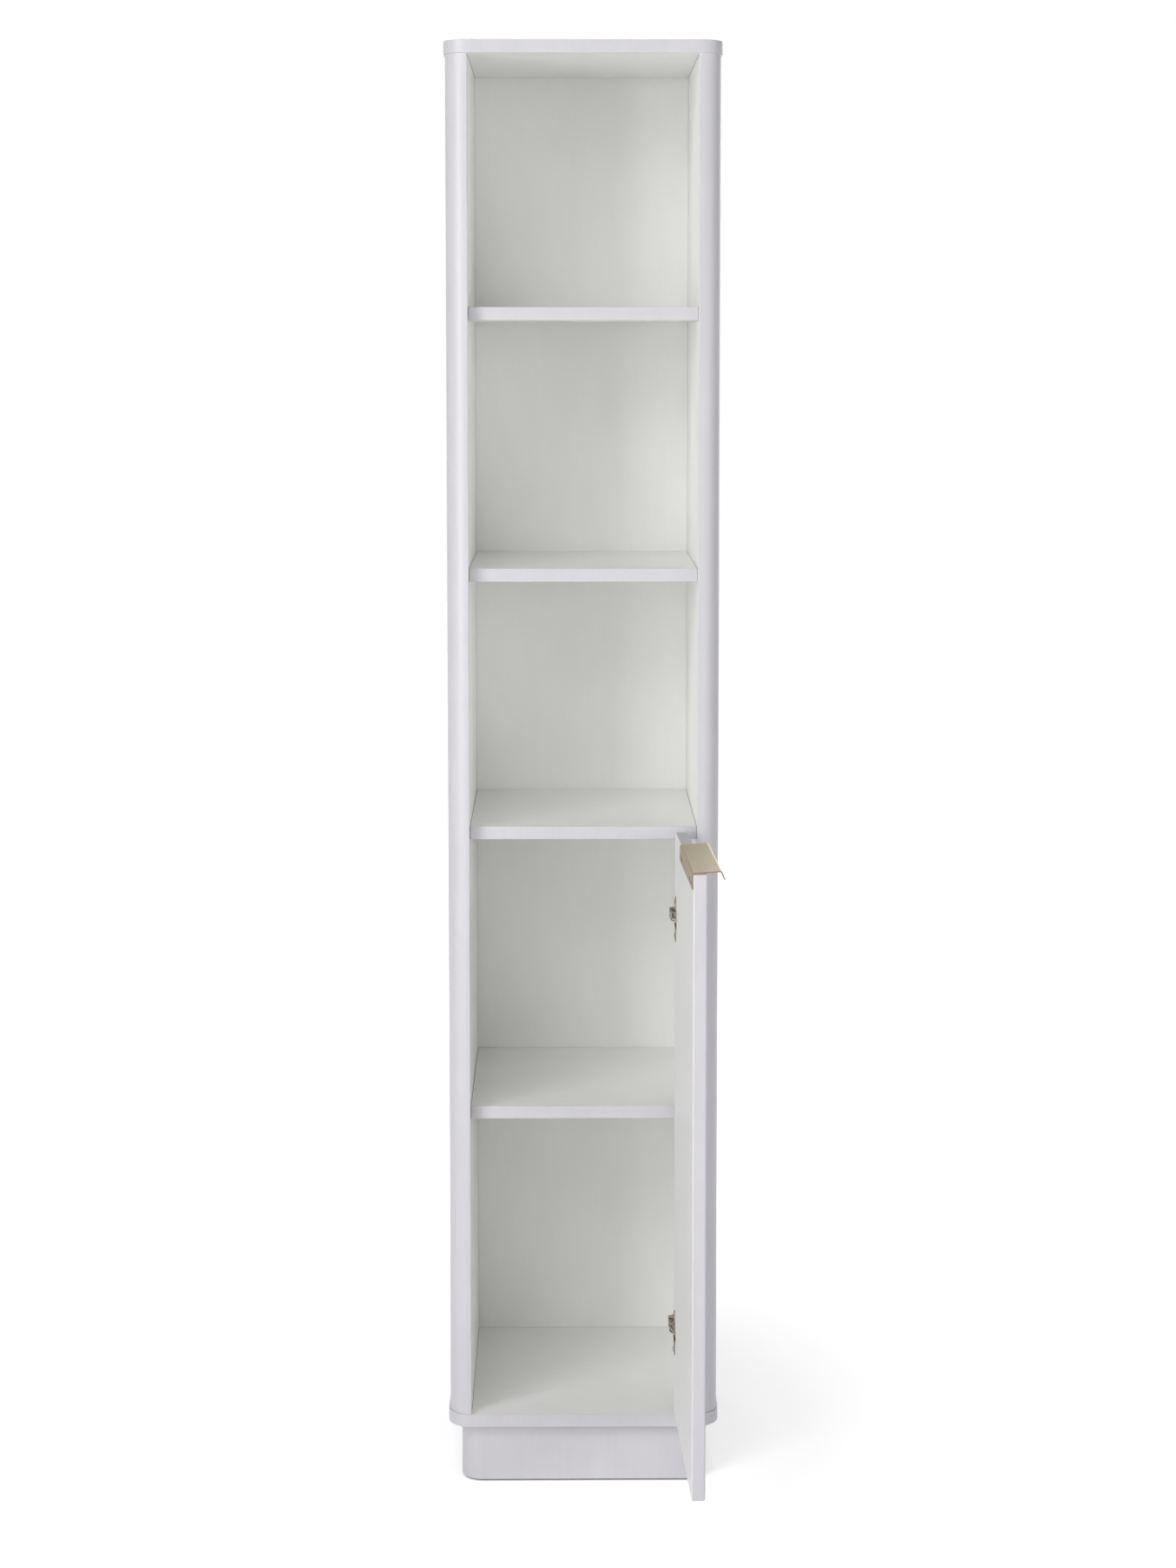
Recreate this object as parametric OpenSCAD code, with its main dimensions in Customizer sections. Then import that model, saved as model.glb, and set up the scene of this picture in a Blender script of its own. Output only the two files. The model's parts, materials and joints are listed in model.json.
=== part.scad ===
// Slim tall cabinet: three open bays over two bays behind one inset door, on a recessed plinth.
// Origin: on the floor, under the middle of the top board. X to the right, Y to the rear, Z up.
// The door is drawn open, as it stands at rest.

/* [Boards] */
// Width of the top and bottom boards
board_w = 340; // [300:5:480]
// Depth of the top and bottom boards
board_d = 320; // [280:5:420]
// Thickness of the top, bottom and shelf boards
board_t = 16; // [14:0.5:22]
// Thickness of a side panel, which is also the radius of its rounded front
side_t = 27; // [22:1:34]
// How far the top and bottom boards stand proud of the side panels
overhang = 2; // [1:0.5:5]
// Radius of the eased edges of the top and bottom boards
edge_ease = 0.8; // [0.4:0.1:1.5]
// Thickness of the back panel
back_t = 4; // [3:0.5:6]
// Wood left behind the back panel's groove
back_lip = 6; // [4:1:12]
// Depth of the groove that holds the back panel
groove_depth = 6; // [4:0.5:8]

/* [Bays] */
// Clear height of each of the three open bays
open_bay_h = 305; // [240:5:360]
// Clear height of the upper bay behind the door
upper_bay_h = 338; // [280:1:400]
// Clear height of the lower bay behind the door
lower_bay_h = 374; // [300:1:440]

/* [Plinth] */
// Height of the plinth boards
plinth_h = 74; // [60:1:120]
// How far the plinth stands in from the bottom board's edges
plinth_inset = 16; // [8:1:30]
// Thickness of the plinth boards
plinth_t = 16; // [14:1:20]
// Outer radius of the plinth's front corners
plinth_corner_r = 27; // [22:1:40]
// Straight length that the plinth's front board runs on beyond its round corners
plinth_return = 6; // [2:1:30]
// Side of a corner block inside the plinth
block_w = 36; // [30:1:50]
// Thickness of a glide under the plinth
glide_h = 3; // [2:0.5:6]
// Diameter of a glide
glide_d = 20; // [14:1:28]
// Distance of a glide's middle from the plinth's outer faces
glide_inset = 22; // [16:1:30]

/* [Door] */
// Thickness of the door
door_t = 16; // [15.5:0.5:19]
// Gap between the closed door and each side panel
door_side_gap = 2.5; // [2.25:0.25:3]
// Gap between the closed door and the shelf fronts behind it
door_rear_gap = 3; // [2.5:0.25:5]
// Gap between the door and the bottom board
door_bottom_gap = 3; // [2:0.5:5]
// How far the door's top lies below the top of the shelf that it covers
door_top_drop = 4.5; // [4:0.5:8]
// Radius of the door's front edges
door_edge_r = 2.5; // [1:0.5:4]
// Angle at which the door stands open
door_open = 92; // [88:0.5:92]

/* [Edge pull] */
// Length of the pull
pull_l = 180; // [120:5:240]
// Thickness of the pull's metal
pull_t = 1.6; // [1.2:0.1:2]
// Height of the pull's flange on the back of the door
pull_flange_h = 18; // [14:1:24]
// Reach of the pull in front of the door, up to the bend of its lip
pull_reach = 15.4; // [12:0.2:20]
// Rise of the pull's plate from the door's back to the bend
pull_rise = 2; // [1:0.25:3]
// Forward reach of the lip
lip_out = 4; // [3:0.5:5]
// Drop of the lip
lip_drop = 9; // [6:0.5:12]
// Distance of the pull from the door's free edge
pull_inset = 1; // [0.5:0.5:20]

/* [Hinges] */
// Distance of a hinge's middle from the door's top or bottom edge
hinge_inset = 106; // [80:1:130]
// Diameter of the hinge cup
cup_d = 26; // [26:0.5:27]
// Depth of the hinge cup
cup_depth = 11; // [11:0.25:12]
// Wall of the hinge cup
cup_wall = 0.8; // [0.6:0.1:0.9]
// Distance from the side panel to the cup's middle
cup_reach = 19; // [18.9:0.1:19.4]
// Distance between a cup's two screws
cup_screw_pitch = 42; // [37:0.5:48]
// Distance between a mounting plate's two screws
plate_screw_pitch = 32; // [30:1:36]
// Distance from the door's back plane to the mounting plate's screw line
plate_setback = 41; // [39:0.5:50]
// Diameter of the hinge pins
pin_d = 1.8; // [1.6:0.1:1.9]
// Turn of the outer link while the door opens
outer_swing = 63; // [62:0.25:64]
// Turn of the inner link while the door opens
inner_swing = 73; // [72:0.25:74]

/* [Joinery] */
// Diameter of the dowels
dowel_d = 8; // [6:1:8]
// Length of the dowels
dowel_l = 30; // [24:1:32]
// Diameter of the wood screws
screw_d = 3.2; // [2.8:0.1:3.5]
// Fine gap between the boards that are let in and what is beside them
fit_gap = 0.2; // [0.1:0.05:0.4]
// Radial clearance of a pin or screw in its hole
pin_gap = 0.05; // [0.03:0.01:0.08]

/* [Hidden] */
$fn = 64;
large_arc_fn = 128;
plinth_arc_fn = 96;
eps = 0.01;
white = "whitesmoke";
nickel = "silver";
brass = "darkkhaki";
beech = "burlywood";
bare_board = "tan";

// Planes of the carcass
front_y = -board_d / 2;
rear_y = board_d / 2;
side_front_y = front_y + overhang;
side_outer_x = board_w / 2 - overhang;
inner_x = side_outer_x - side_t;
open_w = 2 * inner_x;
corner_r = side_t + overhang;
back_rear_y = rear_y - back_lip;
back_front_y = back_rear_y - back_t;

// Levels, from the floor up
plinth_top = glide_h + plinth_h;
floor_top = plinth_top + board_t;
cupboard_z = floor_top + lower_bay_h;
divider_z = cupboard_z + board_t + upper_bay_h;
middle_z = divider_z + board_t + open_bay_h;
upper_z = middle_z + board_t + open_bay_h;
top_z = upper_z + board_t + open_bay_h;

// The door, closed
door_front_y = side_front_y;
door_back_y = door_front_y + door_t;
door_hinge_x = inner_x - door_side_gap;
door_free_x = -inner_x + door_side_gap;
door_w = door_hinge_x - door_free_x;
door_z = floor_top + door_bottom_gap;
door_top = divider_z + board_t - door_top_drop;
door_h = door_top - door_z;
shelf_front_y = door_back_y + door_rear_gap;
shelf_depth = back_front_y - fit_gap - shelf_front_y;

// Hinge pivots, with the door closed: [from the side panel's inner face, behind the door's back plane]
arm_outer = [-31.2, 3.3];
arm_inner = [-27.9, -5.8];
door_outer = [-9.7, -1.5];
door_inner = [-12.1, -4.7];
inner_link_l = 16.1;
inner_link_start = 1;
hinge_z = [door_top - hinge_inset, door_z + hinge_inset];
UPPER = 0;
LOWER = 1;

// Half heights of the hinge's nested layers: inner link, arm nose, outer link, arm body
link_core = 2.6;
nose_in = 2.8;
nose_out = 3.8;
cheek_in = 4.1;
cheek_out = 5.1;
arm_in = 5;
arm_out = 6;
pin_r = pin_d / 2;
pin_hole_r = pin_r + pin_gap;
// How far the open eye of the inner link strays from its pin on the way
open_eye_play = 1;
open_eye_r = pin_r + open_eye_play;
eye_wall = 0.7;
outer_link_w = 2;
inner_link_w = 1.4;
// Where each link's curve is pulled to: along the line from its cup pin to its arm pin, and off it
outer_pull = [8, 7];
inner_pull = [8.5, 6.5];
nose_r = 2.1;
web_t = 1.2;
flange_t = 1;
flange_rim = 1.5;
ear_r = 7.5;
screw_r = screw_d / 2;
head_r = 3.4;
head_h = 1.2;
// Room round a screw head in its counterbore
head_room = 1;
pull_screw_r = 1.4;
pull_head_r = 2.6;
pull_head_h = 0.7;
pull_head_ease = 0.4;
dowel_r = dowel_d / 2;
dowel_board_l = 10;
dowel_side_l = 12;
dowel_inset = 45;

function turn(p, a) = [p.x * cos(a) - p.y * sin(a), p.x * sin(a) + p.y * cos(a)];
function unit(v) = v / norm(v);
function left_of(v) = [-v.y, v.x];
// A point of the hinge, given from the side panel and the door's back plane, in the cabinet's axes
function hinge_point(p) = [inner_x + p.x, door_back_y + p.y];

arm_outer_p = hinge_point(arm_outer);
arm_inner_p = hinge_point(arm_inner);
door_outer_p = hinge_point(door_outer);
door_inner_p = hinge_point(door_inner);
open_outer_p = arm_outer_p + turn(door_outer_p - arm_outer_p, -outer_swing);

// Points on a curve from a to b that is pulled to a point given along and off the line from b to a
function curve(a, b, pull, n = 12) = let (u = unit(a - b), c = b + u * pull.x + left_of(u) * pull.y)
    [for (i = [0:n]) let (t = i / n) a * pow(1 - t, 2) + c * 2 * t * (1 - t) + b * pow(t, 2)];
// Direction of a path at its point i
function heading(path, i) =
    unit(path[min(i + 1, len(path) - 1)] - path[max(i - 1, 0)]);
// Outline of a strip of even width along a path
function strip(path, w) = concat(
    [for (i = [0:len(path) - 1]) path[i] + left_of(heading(path, i)) * w / 2],
    [for (i = [len(path) - 1:-1:0]) path[i] - left_of(heading(path, i)) * w / 2]);
// Half-width of a mitred bend between the directions u and v
function miter(u, v) = let (n = unit(left_of(u) + left_of(v))) n / (n * left_of(u));
// Outline of a folded sheet: legs of even thickness t with mitred bends, the path on its right face
function folded(path, t) = let (
    n = len(path) - 1,
    d = [for (i = [0:n - 1]) unit(path[i + 1] - path[i])]
) concat(
    path,
    [for (i = [n:-1:0]) path[i] + t * (i == 0 ? left_of(d[0])
        : i == n ? left_of(d[n - 1]) : miter(d[i - 1], d[i]))]);

module at_hinge(which) {
    translate([0, 0, hinge_z[which]]) children();
}

// Moves what is drawn on the closed door to where the open door stands
module on_open_door() {
    translate([open_outer_p.x, open_outer_p.y, 0])
        rotate([0, 0, door_open])
            translate([-door_outer_p.x, -door_outer_p.y, 0])
                children();
}

module turned_about(p, a) {
    translate([p.x, p.y, 0]) rotate([0, 0, a]) translate([-p.x, -p.y, 0]) children();
}

// A layer of the hinge between two half heights, above and below its middle
module both_layers(z0, z1) {
    for (z = [z0, -z1])
        translate([0, 0, z]) linear_extrude(z1 - z0) children();
}

module middle_layer(half) {
    translate([0, 0, -half]) linear_extrude(2 * half) children();
}

module pin_at(p, r, half) {
    translate([p.x, p.y, -half]) cylinder(r = r, h = 2 * half);
}

// Section of a board's edge, from the axis of its rounded corner outwards
module eased_section(reach, t, ease) {
    square([reach - ease, t]);
    translate([0, ease]) square([reach, t - 2 * ease]);
    for (z = [ease, t - ease])
        translate([reach - ease, z]) circle(ease);
}

// Top or bottom board: rounded front corners, all exposed edges eased
module rounded_board() {
    corner_x = board_w / 2 - corner_r;
    for (side = [-1, 1])
        translate([side * corner_x, front_y + corner_r, 0])
            rotate_extrude() eased_section(corner_r, board_t, edge_ease);
    translate([-corner_x, front_y + corner_r, 0])
        rotate([90, 0, 90]) linear_extrude(2 * corner_x)
            mirror([1, 0]) eased_section(corner_r, board_t, edge_ease);
    for (side = [-1, 1])
        translate([0, rear_y, 0])
            rotate([90, 0, 0]) linear_extrude(board_d - corner_r)
                mirror([side < 0 ? 1 : 0, 0]) eased_section(board_w / 2, board_t, edge_ease);
}

// Groove for the back panel, cut into a board's face or a side
module back_groove() {
    w = open_w + 2 * groove_depth;
    translate([-w / 2, back_front_y, floor_top - groove_depth])
        cube([w, back_t, top_z - floor_top + 2 * groove_depth]);
}

// Places of the upright dowels in a side panel's ends
module upright_dowels(z) {
    for (side = [-1, 1], y = [side_front_y + dowel_inset, 0, rear_y - dowel_inset])
        translate([side * (inner_x + side_t / 2), y, z]) children();
}

// Places of the level dowels at a shelf's ends
module shelf_dowels_at(z) {
    for (side = [-1, 1], y = [shelf_front_y + dowel_inset, back_front_y - dowel_inset])
        translate([side * inner_x, y, z + board_t / 2]) rotate([0, side * 90, 0]) children();
}

module carcass_board(z) {
    difference() {
        translate([0, 0, z]) rounded_board();
        back_groove();
        upright_dowels(plinth_top + board_t - dowel_board_l) cylinder(r = dowel_r + pin_gap, h = dowel_l);
        upright_dowels(top_z + dowel_board_l - dowel_l) cylinder(r = dowel_r + pin_gap, h = dowel_l);
    }
}

module side_section() {
    translate([0, side_t]) square([side_t, rear_y - side_front_y - side_t]);
    intersection() {
        translate([0, side_t]) circle(side_t, $fn = large_arc_fn);
        square(side_t);
    }
}

module side_panel(side) {
    color(white) difference() {
        translate([side * inner_x, side_front_y, floor_top])
            mirror([side < 0 ? 1 : 0, 0, 0])
                linear_extrude(top_z - floor_top) side_section();
        back_groove();
        upright_dowels(plinth_top + board_t - dowel_board_l) cylinder(r = dowel_r + pin_gap, h = dowel_l);
        upright_dowels(top_z + dowel_board_l - dowel_l) cylinder(r = dowel_r + pin_gap, h = dowel_l);
        for (z = [cupboard_z, divider_z, middle_z, upper_z])
            shelf_dowels_at(z) cylinder(r = dowel_r + pin_gap, h = dowel_side_l);
        if (side > 0)
            for (which = [UPPER, LOWER])
                at_hinge(which) plate_screw_holes();
    }
}

module side_panel_left() { side_panel(-1); }
module side_panel_right() { side_panel(1); }
module top_panel() { color(white) carcass_board(top_z); }
module bottom_panel() {
    color(white) difference() {
        carcass_board(plinth_top);
        plinth_screws_at() cylinder(r = screw_r + pin_gap, h = plinth_screw_l);
    }
}

module back_panel() {
    w = open_w + 2 * (groove_depth - fit_gap);
    h = top_z - floor_top + 2 * (groove_depth - fit_gap);
    color(white)
        translate([-w / 2, back_front_y + fit_gap / 2, floor_top - groove_depth + fit_gap])
            cube([w, back_t - fit_gap, h]);
}

module shelf(z) {
    w = open_w - 2 * fit_gap;
    color(white) difference() {
        translate([-w / 2, shelf_front_y, z]) cube([w, shelf_depth, board_t]);
        shelf_dowels_at(z)
            translate([0, 0, dowel_side_l - dowel_l]) cylinder(r = dowel_r + pin_gap, h = dowel_l);
    }
}

module shelf_cupboard() { shelf(cupboard_z); }
module shelf_divider() { shelf(divider_z); }
module shelf_middle() { shelf(middle_z); }
module shelf_upper() { shelf(upper_z); }

module carcass_dowels() {
    color(beech) {
        upright_dowels(plinth_top + board_t - dowel_board_l) cylinder(r = dowel_r, h = dowel_l);
        upright_dowels(top_z + dowel_board_l - dowel_l) cylinder(r = dowel_r, h = dowel_l);
    }
}

module shelf_dowels() {
    color(beech)
        for (z = [cupboard_z, divider_z, middle_z, upper_z])
            shelf_dowels_at(z)
                translate([0, 0, dowel_side_l - dowel_l]) cylinder(r = dowel_r, h = dowel_l);
}

// Plinth: a bent front board with rounded corners, two sides, a rear board and four corner blocks
plinth_w = board_w - 2 * plinth_inset;
plinth_front_y = front_y + plinth_inset;
plinth_side_y = plinth_front_y + plinth_corner_r + plinth_return;
plinth_rear_y = rear_y;
plinth_screw_l = 52;
plinth_screw_rise = 12;

module corner_outline(w, d, r) {
    for (side = [-1, 1])
        intersection() {
            translate([side * (w / 2 - r), r]) circle(r, $fn = plinth_arc_fn);
            translate([side > 0 ? w / 2 - r : -w / 2, 0]) square(r);
        }
    translate([-w / 2 + r, 0]) square([w - 2 * r, d]);
    translate([-w / 2, r]) square([w, d - r]);
}

module plinth_front() {
    depth = plinth_side_y - plinth_front_y;
    color(white)
        translate([0, plinth_front_y, glide_h]) linear_extrude(plinth_h) difference() {
            corner_outline(plinth_w, depth, plinth_corner_r);
            translate([0, plinth_t])
                corner_outline(plinth_w - 2 * plinth_t, depth, plinth_corner_r - plinth_t);
        }
}

module plinth_side(side) {
    color(white)
        translate([side > 0 ? plinth_w / 2 - plinth_t : -plinth_w / 2, plinth_side_y, glide_h])
            cube([plinth_t, plinth_rear_y - plinth_side_y, plinth_h]);
}

module plinth_side_left() { plinth_side(-1); }
module plinth_side_right() { plinth_side(1); }

module plinth_rear() {
    w = plinth_w - 2 * plinth_t;
    color(white)
        translate([-w / 2, plinth_rear_y - plinth_t, glide_h]) cube([w, plinth_t, plinth_h]);
}

block_front_y = plinth_front_y + plinth_t;
block_rear_y = plinth_rear_y - plinth_t - block_w;
block_x = plinth_w / 2 - plinth_t - block_w;

module plinth_screws_at() {
    for (side = [-1, 1], y = [block_front_y, block_rear_y])
        translate([side * (block_x + block_w / 2), y + block_w / 2,
            plinth_top + plinth_screw_rise - plinth_screw_l])
            children();
}

// Outline of a front block, cut back at the bent board's inner corner
module front_block_outline() {
    cut = plinth_corner_r - plinth_t;
    polygon([[0, 0], [block_w - cut, 0], [block_w, cut], [block_w, block_w], [0, block_w]]);
}

module plinth_blocks() {
    color(bare_board) difference() {
        for (side = [-1, 1])
            translate([side * block_x, 0, glide_h]) mirror([side < 0 ? 1 : 0, 0, 0]) {
                translate([0, block_front_y, 0]) linear_extrude(plinth_h) front_block_outline();
                translate([0, block_rear_y, 0]) cube([block_w, block_w, plinth_h]);
            }
        plinth_screws_at() {
            cylinder(r = screw_r + pin_gap, h = plinth_screw_l);
            translate([0, 0, -plinth_h]) cylinder(r = head_r + head_room, h = plinth_h);
        }
        glides_at() cylinder(r = glide_stud_r + pin_gap, h = glide_h + glide_stud_l);
    }
}

module plinth_screws() {
    color(nickel) plinth_screws_at() {
        cylinder(r = screw_r, h = plinth_screw_l);
        translate([0, 0, -head_h]) cylinder(r = head_r, h = head_h);
    }
}

glide_stud_r = 1.5;
glide_stud_l = 14;
glide_ease = 1;

module glides_at() {
    for (side = [-1, 1], y = [plinth_front_y + glide_inset, plinth_rear_y - glide_inset])
        translate([side * (plinth_w / 2 - glide_inset), y, 0]) children();
}

module glides() {
    color("dimgray") glides_at() {
        cylinder(r1 = glide_d / 2 - glide_ease, r2 = glide_d / 2, h = glide_ease);
        translate([0, 0, glide_ease]) cylinder(d = glide_d, h = glide_h - glide_ease);
        cylinder(r = glide_stud_r, h = glide_h + glide_stud_l);
    }
}

// The door and its edge pull
module door_section() {
    translate([0, door_edge_r]) square([door_w, door_t - door_edge_r]);
    translate([door_edge_r, 0]) square([door_w - 2 * door_edge_r, door_t]);
    for (x = [door_edge_r, door_w - door_edge_r])
        translate([x, door_edge_r]) circle(door_edge_r);
}

module door_side_section() {
    translate([door_edge_r, 0]) square([door_t - door_edge_r, door_h]);
    translate([0, door_edge_r]) square([door_t, door_h - 2 * door_edge_r]);
    for (z = [door_edge_r, door_h - door_edge_r])
        translate([door_edge_r, z]) circle(door_edge_r);
}

module door_panel() {
    color(white) on_open_door() difference() {
        translate([door_free_x, door_front_y, door_z]) intersection() {
            linear_extrude(door_h) door_section();
            rotate([90, 0, 90]) linear_extrude(door_w) door_side_section();
        }
        for (which = [UPPER, LOWER]) at_hinge(which) {
            cup_axis() cylinder(r = cup_d / 2 + pin_gap, h = cup_depth + pin_gap);
            cup_screws_at() cylinder(r = screw_r + pin_gap, h = cup_screw_l);
        }
        pull_screws_at() cylinder(r = pull_screw_r + pin_gap, h = pull_screw_l);
    }
}

pull_back_y = door_back_y + pull_t;
pull_front_y = door_front_y - pull_reach;
pull_bend_z = door_top + pull_rise;
pull_screw_l = 11;
pull_screw_ends = [12, 32];
pull_screw_drop = 11;

// The flange, the plate and the lip, as one folded sheet, seen from the door's hinge edge
module pull_section() {
    path = [
        [door_back_y, door_top - pull_flange_h],
        [door_back_y, door_top],
        [pull_front_y, pull_bend_z],
        [pull_front_y - lip_out, pull_bend_z - lip_drop]
    ];
    polygon(folded([for (i = [3:-1:0]) path[i]], pull_t));
}

module pull_screws_at() {
    for (end = pull_screw_ends, x = [door_free_x + pull_inset + end, door_free_x + pull_inset + pull_l - end])
        translate([x, pull_back_y + pull_head_h, door_top - pull_screw_drop]) rotate([90, 0, 0]) children();
}

module edge_pull() {
    color(brass) on_open_door() difference() {
        translate([door_free_x + pull_inset, 0, 0])
            rotate([90, 0, 90]) linear_extrude(pull_l) pull_section();
        pull_screws_at() cylinder(r = pull_screw_r + pin_gap, h = pull_screw_l);
    }
}

module pull_screws() {
    color(brass) on_open_door() pull_screws_at() {
        cylinder(r = pull_screw_r, h = pull_screw_l);
        cylinder(r1 = pull_head_r - pull_head_ease, r2 = pull_head_r, h = pull_head_h);
    }
}

// Hinge pieces on the cabinet, drawn about the hinge's middle height
plate_y = door_back_y + plate_setback;
plate_wing_t = 2;
plate_wing_w = 13;
plate_body_h = 10;
plate_body_l = 30;
// Gap between the plate's body and the arm's cheeks, and below the arm's cheeks
plate_side_gap = 0.3;
arm_floor_gap = 0.6;
plate_body_half = arm_in - plate_side_gap;
plate_screw_l = 14;
cup_screw_l = 11;
arm_top = 13;
// Runs of the arm from its screw line: back to its rear end, and forward to both ends of its crank
arm_rear_run = 20;
crank_far_run = 24;
crank_near_run = 13;
arm_rear_y = plate_y + arm_rear_run;
arm_crank_y = plate_y - crank_far_run;
arm_crank_end = plate_y - crank_near_run;
// The nose is this much fuller round the outer pin than round the inner one
nose_extra = 0.2;
nose_run = 5;
arm_left = arm_outer.x - nose_r - nose_extra;
arm_step_y = arm_outer_p.y + nose_run;
// Where the web starts behind the outer pin
web_start = 1;

module plate_screws_at() {
    for (z = [-plate_screw_pitch / 2, plate_screw_pitch / 2])
        translate([inner_x - plate_wing_t, plate_y, z]) rotate([0, 90, 0]) children();
}

module plate_screw_holes() {
    plate_screws_at() cylinder(r = screw_r + pin_gap, h = plate_screw_l);
}

module hinge_plate(which) {
    color(nickel) at_hinge(which) difference() {
        union() {
            translate([inner_x - plate_wing_t, plate_y - plate_wing_w / 2, -plate_screw_pitch / 2])
                cube([plate_wing_t, plate_wing_w, plate_screw_pitch]);
            for (z = [-plate_screw_pitch / 2, plate_screw_pitch / 2])
                translate([inner_x - plate_wing_t, plate_y, z])
                    rotate([0, 90, 0]) cylinder(d = plate_wing_w, h = plate_wing_t);
            translate([inner_x - plate_body_h, plate_y - plate_body_l / 2, -plate_body_half])
                cube([plate_body_h, plate_body_l, 2 * plate_body_half]);
        }
        plate_screw_holes();
        arm_screws_at() cylinder(r = screw_r + pin_gap, h = arm_screw_l);
    }
}

module hinge_plate_screws(which) {
    color(nickel) at_hinge(which) plate_screws_at() {
        cylinder(r = screw_r, h = plate_screw_l);
        translate([0, 0, -head_h]) cylinder(r = head_r, h = head_h);
    }
}

arm_screw_l = 8;
arm_screw_runs = [-8, 10];

module arm_screws_at() {
    for (run = arm_screw_runs)
        translate([inner_x - arm_top, plate_y + run, 0]) rotate([0, 90, 0]) children();
}

module hinge_arm_screws(which) {
    color(nickel) at_hinge(which) arm_screws_at() {
        cylinder(r = screw_r, h = arm_screw_l);
        translate([0, 0, -head_h]) cylinder(r = head_r, h = head_h);
    }
}

// Path of the arm's web, which cranks out from the mounting plate to the cup
function arm_web() = [
    [inner_x + arm_left, arm_outer_p.y + web_start],
    [inner_x + arm_left, arm_crank_y],
    [inner_x - arm_top, arm_crank_end],
    [inner_x - arm_top, arm_rear_y]
];

module arm_body_outline() {
    depth = arm_top - plate_wing_t - arm_floor_gap;
    // The cheek's lower edge bends a little before its upper edge, and rises towards the nose
    near_lead = 3;
    far_lead = 2;
    nose_rise = 2.5;
    polygon([
        [inner_x + arm_left, arm_step_y],
        [inner_x + arm_left, arm_crank_y],
        [inner_x - arm_top, arm_crank_end],
        [inner_x - arm_top, arm_rear_y],
        [inner_x - arm_top + depth, arm_rear_y],
        [inner_x - arm_top + depth, arm_crank_end + near_lead],
        [inner_x + arm_left + depth, arm_crank_y + far_lead],
        [inner_x + arm_left + depth - nose_rise, arm_step_y]
    ]);
}

module arm_nose_outline() {
    cup_gap = 0.35;
    flange_gap = 0.4;
    chin = 1.2;
    overlap = 3;
    across = left_of(unit(arm_inner_p - arm_outer_p)) * (nose_r - nose_extra / 2);
    // The wall of the cup comes close to this side when the door is shut
    cup_side = inner_x - cup_reach - sqrt(pow(cup_d / 2 - cup_wall, 2) - pow(nose_out, 2)) + cup_gap;
    translate([arm_outer_p.x, arm_outer_p.y]) circle(nose_r + nose_extra);
    translate([arm_inner_p.x, arm_inner_p.y]) circle(nose_r);
    polygon([
        [cup_side, arm_inner_p.y],
        [cup_side, door_back_y + flange_t + flange_gap],
        arm_outer_p - [chin, chin],
        arm_outer_p + across,
        arm_inner_p + across
    ]);
    translate([inner_x + arm_left, arm_outer_p.y]) 
        square([2 * (nose_r + nose_extra), arm_step_y + overlap - arm_outer_p.y]);
}

module hinge_arm(which) {
    step_l = 1.5;
    web_overlap = 6;
    // Wider and longer than the whole arm, for what is cut to a part of its length
    all_round = [40, 80];
    web = folded([for (i = [3:-1:0]) arm_web()[i]], web_t);
    color(nickel) at_hinge(which) difference() {
        union() {
            both_layers(nose_in, nose_out) arm_nose_outline();
            both_layers(arm_in, arm_out) arm_body_outline();
            // The step where the narrow nose widens to the body
            both_layers(nose_in, arm_out) intersection() {
                arm_body_outline();
                translate([inner_x + arm_left, arm_step_y]) square([all_round.x, step_l]);
            }
            middle_layer(nose_out) intersection() {
                polygon(web);
                translate([inner_x + arm_left, arm_outer_p.y + web_start]) square([all_round.x, web_overlap]);
            }
            middle_layer(arm_out) intersection() {
                polygon(web);
                translate([inner_x + arm_left, arm_step_y]) square(all_round);
            }
        }
        pin_at(arm_outer_p, pin_hole_r, arm_out);
        pin_at(arm_inner_p, pin_hole_r, arm_out);
        arm_screws_at() translate([0, 0, -eps]) cylinder(r = screw_r + pin_gap, h = 2 * web_t);
    }
}

module hinge_arm_pins(which) {
    rivet = 0.2;
    color(nickel) at_hinge(which) {
        pin_at(arm_outer_p, pin_r, cheek_out + rivet);
        pin_at(arm_inner_p, pin_r, nose_out);
    }
}

// Leaf that leans on the inner link's root and pulls the door shut
module hinge_spring(which) {
    leaf_t = 0.5;
    leaf_half = 2.2;
    root_lead = 2;
    root_gap = 0.35;
    root_l = 5;
    root = [inner_x + arm_left + web_t + root_gap, arm_crank_y - root_lead];
    // Steps from the pins to the bends of the leaf
    over_outer = [2, 2.4];
    past_outer = [1.9, -3.6];
    on_inner = [-0.5, 2.65];
    path = [
        root,
        root - [0, root_l],
        arm_outer_p + over_outer,
        arm_outer_p + past_outer,
        arm_inner_p + on_inner
    ];
    color(nickel) at_hinge(which) middle_layer(leaf_half) polygon(strip(path, leaf_t));
}

// Hinge pieces on the door, drawn with the door closed
module cup_axis() {
    translate([inner_x - cup_reach, door_back_y, 0]) rotate([90, 0, 0]) children();
}

module cup_screws_at() {
    for (z = [-cup_screw_pitch / 2, cup_screw_pitch / 2])
        translate([inner_x - cup_reach, door_back_y + flange_t, z]) rotate([90, 0, 0]) children();
}

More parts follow.
